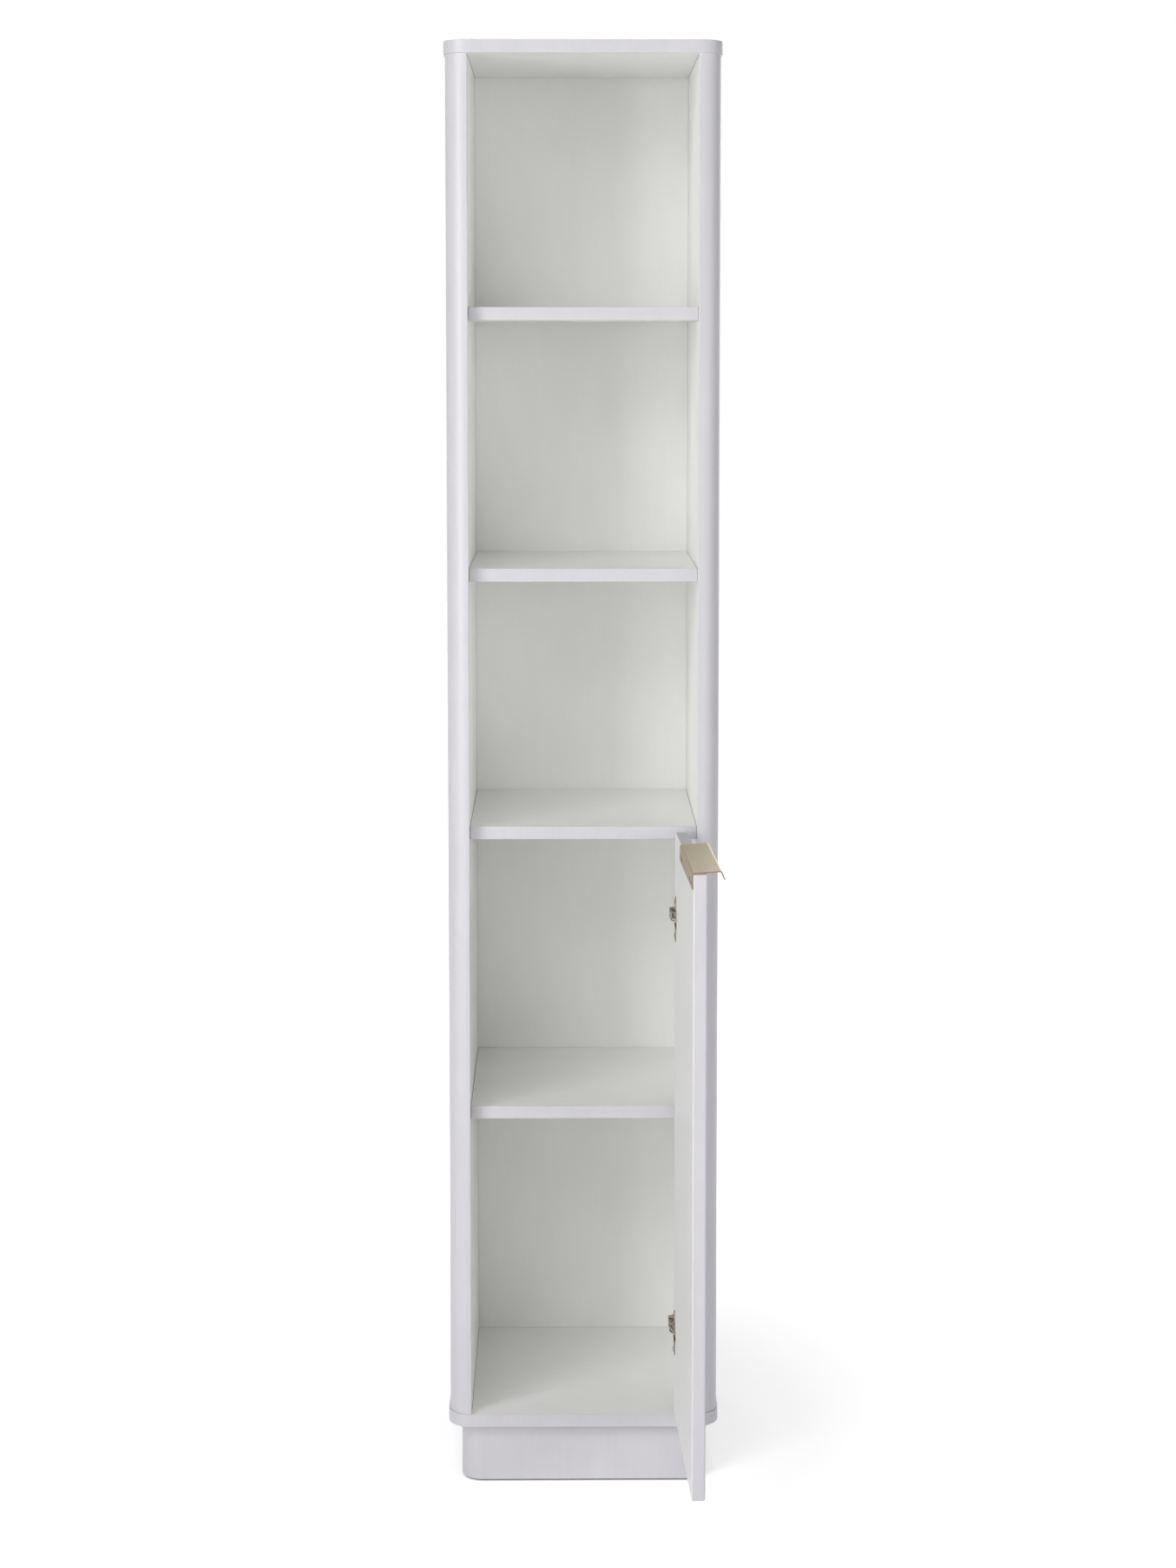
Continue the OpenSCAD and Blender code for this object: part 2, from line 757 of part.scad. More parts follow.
module hinge_cup(which) {
    rim_r = cup_d / 2 + flange_rim;
    notch_gap = 0.5;
    notch_half = arm_out + notch_gap;
    notch_over = 1;
    cup_notch = 4.5;
    color(nickel) on_open_door() at_hinge(which) difference() {
        union() {
            cup_axis() cylinder(d = cup_d, h = cup_depth);
            cup_axis() translate([0, 0, -flange_t]) {
                cylinder(r = rim_r, h = flange_t);
                for (z = [-cup_screw_pitch / 2, cup_screw_pitch / 2])
                    translate([0, z, 0]) cylinder(r = ear_r, h = flange_t);
                translate([-ear_r, -cup_screw_pitch / 2, 0]) cube([2 * ear_r, cup_screw_pitch, flange_t]);
            }
        }
        cup_axis() translate([0, 0, -flange_t - eps])
            cylinder(r = cup_d / 2 - cup_wall, h = cup_depth - cup_wall + flange_t + eps);
        // Room in the rim for the arm, and in the rim and wall for the links
        translate([inner_x - cup_reach - rim_r - notch_over, door_back_y, -notch_half])
            cube([rim_r + notch_over, flange_t + eps, 2 * notch_half]);
        translate([inner_x - cup_reach, door_back_y - cup_notch, -notch_half])
            cube([rim_r + notch_over, cup_notch + flange_t + eps, 2 * notch_half]);
        pin_at(door_outer_p, pin_hole_r, cup_d / 2);
        pin_at(door_inner_p, pin_hole_r, cup_d / 2);
        cup_screws_at() translate([0, 0, -eps]) cylinder(r = screw_r + pin_gap, h = flange_t + 2 * eps);
    }
}

module hinge_cup_screws(which) {
    color(nickel) on_open_door() at_hinge(which) cup_screws_at() {
        cylinder(r = screw_r, h = cup_screw_l);
        translate([0, 0, -head_h]) cylinder(r = head_r, h = head_h);
    }
}

// Half length of a pin that ends inside the cup's wall
pin_end_gap = 0.2;
function cup_pin_half(p) =
    let (off = abs(p.x - inner_x + cup_reach)) sqrt(pow(cup_d / 2 - pin_end_gap, 2) - pow(off + pin_r, 2));

module hinge_cup_pins(which) {
    half = cup_pin_half(door_outer_p);
    color(nickel) on_open_door() at_hinge(which) {
        for (z = [cheek_in, -half])
            translate([door_outer_p.x, door_outer_p.y, z]) cylinder(r = pin_r, h = half - cheek_in);
        pin_at(door_inner_p, pin_r, cup_pin_half(door_inner_p));
    }
}

module hinge_outer_link(which) {
    color(nickel) at_hinge(which) turned_about(arm_outer_p, -outer_swing) difference() {
        both_layers(cheek_in, cheek_out) {
            polygon(strip(curve(arm_outer_p, door_outer_p, outer_pull), outer_link_w));
            for (p = [arm_outer_p, door_outer_p])
                translate([p.x, p.y]) circle(pin_hole_r + eye_wall);
        }
        for (p = [arm_outer_p, door_outer_p]) pin_at(p, pin_hole_r, arm_out);
    }
}

module hinge_inner_link(which) {
    far_p = arm_inner_p + turn([inner_link_l, 0], inner_link_start);
    color(nickel) at_hinge(which) turned_about(arm_inner_p, -inner_swing) difference() {
        union() {
            middle_layer(link_core) polygon(strip(curve(arm_inner_p, far_p, inner_pull), inner_link_w));
            pin_at(arm_inner_p, pin_hole_r + eye_wall, link_core);
            pin_at(far_p, open_eye_r + eye_wall, link_core);
        }
        pin_at(arm_inner_p, pin_hole_r, arm_out);
        pin_at(far_p, open_eye_r, arm_out);
    }
}

module hinge_upper_plate() { hinge_plate(UPPER); }
module hinge_upper_plate_screws() { hinge_plate_screws(UPPER); }
module hinge_upper_arm() { hinge_arm(UPPER); }
module hinge_upper_arm_screws() { hinge_arm_screws(UPPER); }
module hinge_upper_arm_pins() { hinge_arm_pins(UPPER); }
module hinge_upper_spring() { hinge_spring(UPPER); }
module hinge_upper_outer_link() { hinge_outer_link(UPPER); }
module hinge_upper_inner_link() { hinge_inner_link(UPPER); }
module hinge_upper_cup() { hinge_cup(UPPER); }
module hinge_upper_cup_pins() { hinge_cup_pins(UPPER); }
module hinge_upper_cup_screws() { hinge_cup_screws(UPPER); }
module hinge_lower_plate() { hinge_plate(LOWER); }
module hinge_lower_plate_screws() { hinge_plate_screws(LOWER); }
module hinge_lower_arm() { hinge_arm(LOWER); }
module hinge_lower_arm_screws() { hinge_arm_screws(LOWER); }
module hinge_lower_arm_pins() { hinge_arm_pins(LOWER); }
module hinge_lower_spring() { hinge_spring(LOWER); }
module hinge_lower_outer_link() { hinge_outer_link(LOWER); }
module hinge_lower_inner_link() { hinge_inner_link(LOWER); }
module hinge_lower_cup() { hinge_cup(LOWER); }
module hinge_lower_cup_pins() { hinge_cup_pins(LOWER); }
module hinge_lower_cup_screws() { hinge_cup_screws(LOWER); }

top_panel();
bottom_panel();
side_panel_left();
side_panel_right();
back_panel();
shelf_upper();
shelf_middle();
shelf_divider();
shelf_cupboard();
carcass_dowels();
shelf_dowels();
plinth_front();
plinth_side_left();
plinth_side_right();
plinth_rear();
plinth_blocks();
plinth_screws();
glides();
door_panel();
edge_pull();
pull_screws();
hinge_upper_plate();
hinge_upper_plate_screws();
hinge_upper_arm();
hinge_upper_arm_screws();
hinge_upper_arm_pins();
hinge_upper_spring();
hinge_upper_outer_link();
hinge_upper_inner_link();
hinge_upper_cup();
hinge_upper_cup_pins();
hinge_upper_cup_screws();
hinge_lower_plate();
hinge_lower_plate_screws();
hinge_lower_arm();
hinge_lower_arm_screws();
hinge_lower_arm_pins();
hinge_lower_spring();
hinge_lower_outer_link();
hinge_lower_inner_link();
hinge_lower_cup();
hinge_lower_cup_pins();
hinge_lower_cup_screws();
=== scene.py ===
"""Looks of a slim tall cabinet: white lacquered boards, a brass edge pull and nickel cup hinges."""

import json
import logging
import math
from collections.abc import Callable, Sequence
from dataclasses import dataclass, field
from enum import Enum
from typing import Any

import bmesh
import bpy
import numpy as np
from bpy.types import Material, Mesh
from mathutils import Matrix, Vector


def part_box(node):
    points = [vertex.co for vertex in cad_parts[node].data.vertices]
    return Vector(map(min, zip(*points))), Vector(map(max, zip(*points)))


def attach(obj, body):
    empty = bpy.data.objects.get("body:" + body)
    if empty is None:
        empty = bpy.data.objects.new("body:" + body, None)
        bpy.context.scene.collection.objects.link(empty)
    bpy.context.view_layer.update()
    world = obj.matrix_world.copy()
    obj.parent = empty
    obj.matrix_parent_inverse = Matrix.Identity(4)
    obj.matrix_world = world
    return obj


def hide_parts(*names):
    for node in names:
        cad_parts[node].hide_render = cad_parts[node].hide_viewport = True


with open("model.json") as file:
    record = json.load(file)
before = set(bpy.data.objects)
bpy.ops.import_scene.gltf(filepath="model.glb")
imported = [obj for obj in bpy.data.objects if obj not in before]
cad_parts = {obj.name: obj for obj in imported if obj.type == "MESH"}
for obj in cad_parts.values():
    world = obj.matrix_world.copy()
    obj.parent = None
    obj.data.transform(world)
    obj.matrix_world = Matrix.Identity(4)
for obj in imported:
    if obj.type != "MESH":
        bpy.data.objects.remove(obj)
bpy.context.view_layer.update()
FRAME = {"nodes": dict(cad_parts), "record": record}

LOG = logging.getLogger("tall_cabinet")
MM = 0.001
MERGE = 0.002 * MM
FLAT = math.radians(0.6)
UP = np.array([0.0, 0.0, 1.0])

Triple = tuple[float, float, float]
Colour = Triple
Faces = list[tuple[int, ...]]
Surface = tuple[np.ndarray, Faces]


class Body(Enum):
    """The rigid bodies that pieces ride on."""

    CABINET = "cabinet"
    DOOR = "door"
    UPPER_OUTER_LINK = "upper_outer_link"
    LOWER_OUTER_LINK = "lower_outer_link"
    UPPER_INNER_LINK = "upper_inner_link"
    LOWER_INNER_LINK = "lower_inner_link"


class Slot(Enum):
    """The record's material slots."""

    WHITE_BOARD = "white_board"
    DOWEL_WOOD = "dowel_wood"
    BLOCK_BOARD = "block_board"
    GLIDE_PLASTIC = "glide_plastic"
    BRUSHED_BRASS = "brushed_brass"
    NICKEL_STEEL = "nickel_steel"
    SCREW_STEEL = "screw_steel"
    SPRING_STEEL = "spring_steel"


# Shader maths


@dataclass(frozen=True)
class Value:
    """A shader socket; arithmetic on it adds Math nodes to its tree."""

    tree: "NodeTree"
    socket: bpy.types.NodeSocket

    def math(self, operation: str, *values: "Value | float") -> "Value":
        """Adds one Math node on the given values, of which one is usually this one."""
        return self.tree.node("Math", {"operation": operation}, dict(enumerate(values)))

    def __add__(self, other: "Value | float") -> "Value":
        """This value plus another."""
        return self.math("ADD", self, other)

    def __sub__(self, other: "Value | float") -> "Value":
        """This value less another."""
        return self.math("SUBTRACT", self, other)

    def __rsub__(self, other: float) -> "Value":
        """A number less this value."""
        return self.math("SUBTRACT", other, self)

    def __mul__(self, other: "Value | float") -> "Value":
        """This value times another."""
        return self.math("MULTIPLY", self, other)

    __radd__ = __add__
    __rmul__ = __mul__

    def clamped(self) -> "Value":
        """This value held between 0 and 1."""
        return self.math("MINIMUM", self.math("MAXIMUM", self, 0.0), 1.0)

    def magnitude(self) -> "Value":
        """This value without its sign."""
        return self.math("ABSOLUTE", self)

    def root(self) -> "Value":
        """The square root of this value."""
        return self.math("SQRT", self)

    def either(self, other: "Value | float") -> "Value":
        """The larger of this value and another."""
        return self.math("MAXIMUM", self, other)

    def between(self, low: float, high: float) -> "Value":
        """1 where this value lies between two bounds, and 0 elsewhere."""
        return self.math("GREATER_THAN", self, low) * self.math("LESS_THAN", self, high)

    def mixed(self, other: "Value", share: float) -> "Value":
        """This value and another, which has the given share of the sum."""
        return self * (1.0 - share) + other * share

    def lifted(self, low: float, gain: float) -> "Value":
        """This value less a number, times a gain, held between 0 and 1."""
        return ((self - low) * gain).clamped()

    def around(self, middle: float, swing: float) -> "Value":
        """A noise from 0 to 1 turned into a swing about a middle."""
        return middle + (self - 0.5) * swing


Place = tuple[Value, Value, Value]


class NodeTree:
    """Adds nodes to the tree of a material or of the world."""

    def __init__(self, owner: Material | bpy.types.World) -> None:
        """Empties the owner's tree.

        Args:
            owner: The material or world to build.
        """
        owner.use_nodes = True
        self.tree = owner.node_tree
        self.tree.nodes.clear()

    def node(
        self,
        kind: str,
        settings: dict[str, Any] | None = None,
        inputs: dict[str | int, Any] | None = None,
        output: str | int = 0,
    ) -> Value:
        """Adds a node.

        Args:
            kind: The node's type, without its leading ShaderNode.
            settings: Properties, which are set before the inputs.
            inputs: Values or links of its sockets, by name or number.
            output: The output socket that is returned.

        Returns:
            The output as a value.
        """
        made = self.tree.nodes.new("ShaderNode" + kind)
        for name, setting in (settings or {}).items():
            setattr(made, name, setting)
        for name, given in (inputs or {}).items():
            if isinstance(given, Value):
                self.tree.links.new(given.socket, made.inputs[name])
            else:
                made.inputs[name].default_value = given
        return Value(self, made.outputs[output] if made.outputs else None)

    def coordinates(self, stretch: Triple = (1.0, 1.0, 1.0), turn: float = 0.0) -> Value:
        """Object coordinates in metres, turned about the upright and stretched.

        Args:
            stretch: Scale along each axis, after the turn.
            turn: Turn about Z, in radians.

        Returns:
            The mapped vector.
        """
        point = {"vector_type": "POINT"}
        place = self.node("TexCoord", output="Object")
        turned = self.node("Mapping", point, {"Vector": place, "Rotation": (0.0, 0.0, turn)})
        return self.node("Mapping", point, {"Vector": turned, "Scale": stretch})

    def noise(self, vector: Value, scale: float, detail: float = 2.0, roughness: float = 0.5) -> Value:
        """Noise of a given scale per metre on a vector, from 0 to 1."""
        inputs = {"Vector": vector, "Scale": scale, "Detail": detail, "Roughness": roughness}
        return self.node("TexNoise", {"noise_dimensions": "3D"}, inputs, "Fac")

    def blend(self, factor: Value | float, first: Any, second: Any) -> Value:
        """A colour between two colours."""
        inputs = {0: factor, 6: _rgba(first), 7: _rgba(second)}
        return self.node("Mix", {"data_type": "RGBA"}, inputs, 2)

    def dimmed(self, colour: Value, factor: float) -> Value:
        """A colour times a factor."""
        return self.node("VectorMath", {"operation": "MULTIPLY"}, {0: colour, 1: (factor,) * 3})

    def axes(self, vector: Value) -> Place:
        """The three parts of a vector."""
        split = self.node("SeparateXYZ", None, {0: vector})
        return tuple(Value(self, split.socket.node.outputs[axis]) for axis in "XYZ")

    def bump(self, height: Value, strength: float, distance: float) -> Value:
        """A normal tilted by a height."""
        inputs = {"Strength": strength, "Distance": distance, "Height": height}
        return self.node("Bump", None, inputs, "Normal")

    def surface(self, inputs: dict[str | int, Any]) -> None:
        """Ends a material with a Principled shader that has the given inputs."""
        shader = self.node("BsdfPrincipled", None, inputs)
        self.node("OutputMaterial", None, {"Surface": shader})


def _rgba(colour: Any) -> Any:
    """A plain colour with its alpha; a link stays as it is."""
    return colour if isinstance(colour, Value) else (*colour, 1.0)


def _shaded(colour: Colour, factor: float) -> Colour:
    """A colour times a factor, held to 1."""
    return tuple(min(1.0, channel * factor) for channel in colour)


# Finishes


@dataclass(frozen=True)
class PaintedFaces:
    """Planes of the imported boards, by which the lacquer finds inside faces, joints and the door's back.

    A face counts up to the slack on either side of its plane.
    """

    half_width: float
    front: float
    back: float
    bottom: float
    top: float
    door_low: Vector
    door_high: Vector
    door_through: Triple
    door_back: float
    slack: float

    @classmethod
    def measured(cls, slack: float) -> "PaintedFaces":
        """Reads the planes from the frame.

        Args:
            slack: Distance on either side of a plane that still counts.

        Returns:
            The planes.
        """
        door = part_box("door_panel")
        through = Door.directions()[1]
        return cls(
            half_width=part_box("side_panel_right")[0].x,
            front=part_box("shelf_middle")[0].y,
            back=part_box("back_panel")[0].y,
            bottom=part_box("bottom_panel")[1].z,
            top=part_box("top_panel")[0].z,
            door_low=door[0],
            door_high=door[1],
            door_through=tuple(through.tolist()),
            door_back=float((node_points("door_panel") @ through).min()),
            slack=slack,
        )

    def _within(self, value: Value, low: float, high: float) -> Value:
        """1 where a value lies between two bounds, with the slack outside them."""
        return value.between(low - self.slack, high + self.slack)

    def inside(self, at: Place, band: float) -> Value:
        """1 on the faces of the box inside the boards, behind an edge band at the shelves' fronts.

        Args:
            at: Object X, Y and Z.
            band: Thickness of the edge band.

        Returns:
            The mask of the lighter tone, which is partly painted light. Before the shelves it counts only
            on the end boards and the sides' inner faces.
        """
        x, y, z = at
        wall = self._within(x.magnitude(), self.half_width, self.half_width)
        below = self._within(z, self.bottom, self.bottom)
        above = self._within(z, self.top, self.top)
        behind = y.between(self.front + band, self.back + self.slack)
        across = self._within(x, -self.half_width, self.half_width)
        upright = self._within(z, self.bottom, self.top)
        return across * behind.either(wall).either(below).either(above) * upright

    def shaded_seams(self, at: Place, width: float, corner: float) -> Value:
        """1 along the joints of the boards, where shade is painted: beside the side panels and before the
        back panel.

        The joined faces themselves stay clean.

        Args:
            at: Object X, Y and Z.
            width: Width of the line.
            corner: Share of it that shows in the upright corners, on the back panel's face.

        Returns:
            The mask of the painted shade.
        """
        x, y, z = at
        on_board = self._within(y, self.front, self.back - 2 * self.slack)
        beside = x.magnitude().between(self.half_width - width, self.half_width - self.slack)
        before = y.between(self.back - width, self.back - self.slack)
        across = self._within(x, -self.half_width, self.half_width)
        deep = self._within(y, self.front, self.back)
        upright = self._within(z, self.bottom, self.top)
        return (beside * on_board.either(corner)).either(before) * across * deep * upright

    def on_door(self, place: Value, at: Place, depth: float) -> Value:
        """1 on the door's back face, as it stands open at rest.

        Args:
            place: Object coordinates.
            at: Their parts.
            depth: Depth below the face that still counts.

        Returns:
            The mask of a share of the lighter tone, which is partly painted light.
        """
        inputs = {0: place, 1: self.door_through}
        through = place.tree.node("VectorMath", {"operation": "DOT_PRODUCT"}, inputs, "Value")
        near = through.between(self.door_back - self.slack, self.door_back + depth)
        along = at[1].between(self.door_low.y - self.slack, self.door_high.y)
        return near * along * at[2].between(self.door_low.z, self.door_high.z)


@dataclass(frozen=True)
class Finish:
    """A finish, which makes one material."""

    name: str

    def material(self) -> Material:
        """Makes the material.

        Returns:
            The material, under the finish's name.
        """
        made = bpy.data.materials.new(self.name)
        self.dress(NodeTree(made))
        return made

    def dress(self, tree: NodeTree) -> None:
        """Adds the finish's nodes to an empty tree."""
        raise NotImplementedError


@dataclass(frozen=True)
class Lacquer(Finish):
    """Satin lacquer sprayed on board, with a darker, cooler tone on edges and outer faces than in the
    niche.

    It is faintly cloudy, with upright strokes, fine orange peel, slightly uneven gloss and dark joint
    lines, which are painted shade in the joints. The clouds show less on the inside tone. The two tones
    are partly two-tone paint and partly painted light: the niche and the door's back are lighter as
    painted bounce light, and the edges and outer faces are darker as painted shade.
    """

    outside: Colour
    inside: Colour
    door_lit_share: float = 0.7
    band: float = 0.8 * MM
    slack: float = 0.05 * MM
    cloud_scale: float = 26.0
    cloud_stretch: float = 0.4
    cloud_from: float = 0.4
    cloud_gain: float = 4.0
    cloud_depth: float = 0.045
    inside_calm: float = 0.5
    stroke_scale: float = 208.0
    stroke_stretch: float = 0.1
    stroke_share: float = 0.3
    joint_shade: float = 0.8 * MM
    seam_shade_depth: float = 0.6
    seam_shade_colour: Colour = (0.2, 0.19, 0.18)
    seam_dullness: float = 0.3
    corner_share: float = 0.2
    roughness: float = 0.4
    gloss_swing: float = 0.16
    peel_scale: float = 420.0
    peel_strength: float = 0.35
    peel_depth: float = 0.06 * MM
    refraction: float = 1.5
    coat: float = 0.06
    coat_roughness: float = 0.3

    def dress(self, tree: NodeTree) -> None:
        """Adds the two tones, the clouds over them, the joint lines, the gloss and the peel.

        Args:
            tree: The material's tree.
        """
        place = tree.coordinates()
        at = tree.axes(place)
        faces = PaintedFaces.measured(self.slack)
        # The niche and, in a share, the door's back take the lighter tone: partly two-tone paint, partly
        # painted bounce light. The darker outer tone is partly painted shade.
        door = faces.on_door(place, at, self.band)
        tone = faces.inside(at, self.band).either(door * self.door_lit_share)
        paint = tree.blend(tone, self.outside, self.inside)
        cloud_place = tree.coordinates((1.0, 1.0, self.cloud_stretch))
        cloud = tree.noise(cloud_place, self.cloud_scale, detail=5.0, roughness=0.6)
        stroke_place = tree.coordinates((1.0, 1.0, self.stroke_stretch))
        stroke = tree.noise(stroke_place, self.stroke_scale, detail=3.0)
        clear = cloud.mixed(stroke, self.stroke_share).lifted(self.cloud_from, self.cloud_gain)
        clouding = 1.0 - clear * (1.0 - tone * self.inside_calm)
        clouded = tree.blend(clouding, paint, tree.dimmed(paint, 1.0 - self.cloud_depth))
        # Dark lines along the joints: painted shade in the gaps between the boards.
        joint_shade = faces.shaded_seams(at, self.joint_shade, self.corner_share)
        peel = tree.noise(place, self.peel_scale)
        tree.surface(
            {
                "Base Color": tree.blend(joint_shade * self.seam_shade_depth, clouded, self.seam_shade_colour),
                "Roughness": cloud.around(self.roughness, self.gloss_swing) + joint_shade * self.seam_dullness,
                "Normal": tree.bump(peel, self.peel_strength, self.peel_depth),
                "IOR": self.refraction,
                "Coat Weight": self.coat,
                "Coat Roughness": self.coat_roughness,
            }
        )


@dataclass(frozen=True)
class BrushedMetal(Finish):
    """Metal brushed one way: long fine streaks in colour, gloss and height, and cut ends that are rougher
    and painted darker, a painted shade that holds down their bright reflection.

    The ends are the places along the brushing where the metal is cut.
    """

    colour: Colour
    roughness: float
    turn: float
    ends: tuple[float, float] = (-9.0, 9.0)
    cut_depth: float = 0.3 * MM
    cut_painted_shade: float = 0.45
    cut_dullness: float = 0.1
    streak_scale: float = 2600.0
    streak_stretch: float = 0.012
    broad_scale: float = 416.0
    broad_share: float = 0.3
    streak_from: float = 0.3
    streak_gain: float = 2.5
    contrast: float = 0.16
    gloss_swing: float = 0.2
    strength: float = 0.5
    depth: float = 0.02 * MM

    def dress(self, tree: NodeTree) -> None:
        """Adds the streaks, in colour, gloss and height, and the cut ends, rougher and with painted
        shade.

        Args:
            tree: The material's tree.
        """
        along = tree.coordinates((1.0, self.streak_stretch, 1.0), self.turn)
        fine = tree.noise(along, self.streak_scale, detail=3.0, roughness=0.65)
        broad = tree.noise(along, self.broad_scale)
        streak = fine.mixed(broad, self.broad_share)
        dark = _shaded(self.colour, 1.0 - self.contrast)
        bright = _shaded(self.colour, 1.0 + self.contrast / 2)
        brushed = tree.blend(streak.lifted(self.streak_from, self.streak_gain), dark, bright)
        low, high = self.ends
        length = tree.axes(tree.coordinates(turn=self.turn))[1]
        # The cut ends are painted darker, a painted shade against their bright reflection, and made
        # rougher.
        cut = 1.0 - length.between(low + self.cut_depth, high - self.cut_depth)
        tree.surface(
            {
                "Base Color": tree.blend(cut, brushed, _shaded(self.colour, self.cut_painted_shade)),
                "Metallic": 1.0,
                "Roughness": streak.around(self.roughness, self.gloss_swing) + cut * self.cut_dullness,
                "Normal": tree.bump(streak, self.strength, self.depth),
            }
        )


@dataclass(frozen=True)
class PlatedSteel(Finish):
    """Pressed steel with a bright plating: cloudy gloss and faint press marks."""

    colour: Colour
    roughness: float = 0.26
    mark_scale: float = 260.0
    mark_shade: float = 0.88
    grain_ratio: float = 12.0
    grain_share: float = 0.4
    gloss_swing: float = 0.16
    strength: float = 0.25
    depth: float = 0.03 * MM

    def dress(self, tree: NodeTree) -> None:
        """Adds the press marks, in colour, gloss and height.

        Args:
            tree: The material's tree.
        """
        place = tree.coordinates()
        marks = tree.noise(place, self.mark_scale, detail=4.0, roughness=0.6)
        grain = tree.noise(place, self.mark_scale * self.grain_ratio)
        tree.surface(
            {
                "Base Color": tree.blend(marks, _shaded(self.colour, self.mark_shade), self.colour),
                "Metallic": 1.0,
                "Roughness": marks.around(self.roughness, self.gloss_swing),
                "Normal": tree.bump(marks.mixed(grain, self.grain_share), self.strength, self.depth),
            }
        )


@dataclass(frozen=True)
class MouldedPlastic(Finish):
    """Dark moulded plastic with a fine eroded grain."""

    colour: Colour
    contrast: float = 0.2
    roughness: float = 0.55
    gloss_swing: float = 0.15
    grain_scale: float = 1500.0
    strength: float = 0.4
    depth: float = 0.05 * MM

    def dress(self, tree: NodeTree) -> None:
        """Adds the grain, in colour, gloss and height.

        Args:
            tree: The material's tree.
        """
        grain = tree.noise(tree.coordinates(), self.grain_scale, detail=3.0)
        dark = _shaded(self.colour, 1.0 - self.contrast)
        tree.surface(
            {
                "Base Color": tree.blend(grain, dark, _shaded(self.colour, 1.0 + self.contrast)),
                "Roughness": grain.around(self.roughness, self.gloss_swing),
                "Normal": tree.bump(grain, self.strength, self.depth),
            }
        )


@dataclass(frozen=True)
class BareWood(Finish):
    """Unfinished wood with its grain upright or along X."""

    colour: Colour
    grain: Triple = (1.0, 1.0, 0.05)
    ring_scale: float = 160.0
    fibre_ratio: float = 9.0
    fibre_share: float = 0.3
    ring_from: float = 0.25
    ring_gain: float = 2.0
    ring_shade: float = 0.72
    roughness: float = 0.7
    gloss_swing: float = 0.2
    strength: float = 0.5
    depth: float = 0.1 * MM

    def dress(self, tree: NodeTree) -> None:
        """Adds the rings, in colour, and the fibres, in colour, gloss and height.

        Args:
            tree: The material's tree.
        """
        along = tree.coordinates(self.grain)
        ring = tree.noise(along, self.ring_scale, detail=4.0, roughness=0.65)
        fibre = tree.noise(along, self.ring_scale * self.fibre_ratio)
        pale = ring.mixed(fibre, self.fibre_share).lifted(self.ring_from, self.ring_gain)
        tree.surface(
            {
                "Base Color": tree.blend(pale, _shaded(self.colour, self.ring_shade), self.colour),
                "Roughness": fibre.around(self.roughness, self.gloss_swing),
                "Normal": tree.bump(fibre, self.strength, self.depth),
            }
        )


# Shapes


@dataclass(frozen=True)
class Outline:
    """A closed outline, anticlockwise, with the outward normal at each point."""

    points: np.ndarray
    normals: np.ndarray

    @classmethod
    def rounded(cls, corners: Sequence[Triple], steps: int = 8) -> "Outline":
        """Rounds the corners of a polygon.

        The arc at a corner starts r tan(a / 2) before it, where a is the turn there, and its normals
        turn evenly from those of the edge before to those of the edge after. A corner that turns
        right is hollow, so its arc lies on the other side of its middle.

        Args:
            corners: (x, y, radius) of each corner, anticlockwise.
            steps: Steps along each arc.

        Returns:
            The outline.
        """
        at = np.array([corner[:2] for corner in corners], float)
        radius = np.array([corner[2] for corner in corners], float)
        into = at - np.roll(at, 1, axis=0)
        into /= np.linalg.norm(into, axis=1, keepdims=True)
        out = np.roll(into, -1, axis=0)
        turn = np.arctan2(into[:, 0] * out[:, 1] - into[:, 1] * out[:, 0], (into * out).sum(axis=1))
        side = np.sign(turn)
        start = at - into * (radius * np.tan(np.abs(turn) / 2))[:, None]
        normal = np.stack([into[:, 1], -into[:, 0]], axis=1)
        middle = start - normal * (side * radius)[:, None]
        angle = turn[:, None] * np.linspace(0.0, 1.0, steps + 1)[None, :]
        cos, sin = np.cos(angle), np.sin(angle)
        nx, ny = normal[:, :1], normal[:, 1:]
        normals = np.stack([nx * cos - ny * sin, nx * sin + ny * cos], axis=2)
        points = middle[:, None, :] + normals * (side * radius)[:, None, None]
        return cls(points.reshape(-1, 2), normals.reshape(-1, 2))

    @classmethod
    def rectangle(
        cls, low: Sequence[float], high: Sequence[float], radii: Sequence[float], steps: int
    ) -> "Outline":
        """A rectangle with a radius for each corner, anticlockwise from the lowest."""
        (x0, y0), (x1, y1) = low, high
        return cls.rounded(list(zip((x0, x1, x1, x0), (y0, y0, y1, y1), radii)), steps)


@dataclass(frozen=True)
class Axes:
    """Local axes: an origin and the directions of the local x, y and z."""

    origin: np.ndarray
    x: np.ndarray
    y: np.ndarray
    z: np.ndarray

    @property
    def matrix(self) -> np.ndarray:
        """The three directions as rows."""
        return np.stack([self.x, self.y, self.z])

    @property
    def mirrored(self) -> bool:
        """Whether the axes are left-handed."""
        return bool(np.linalg.det(self.matrix) < 0)

    def place(self, local: np.ndarray) -> np.ndarray:
        """World places of local points."""
        return self.origin + local @ self.matrix

    def spans(self, node: str) -> tuple[np.ndarray, np.ndarray]:
        """Lowest and highest local coordinates of a frame node."""
        local = (node_points(node) - self.origin) @ np.linalg.inv(self.matrix)
        return local.min(axis=0), local.max(axis=0)


WORLD_AXES = Axes(np.zeros(3), *np.eye(3))


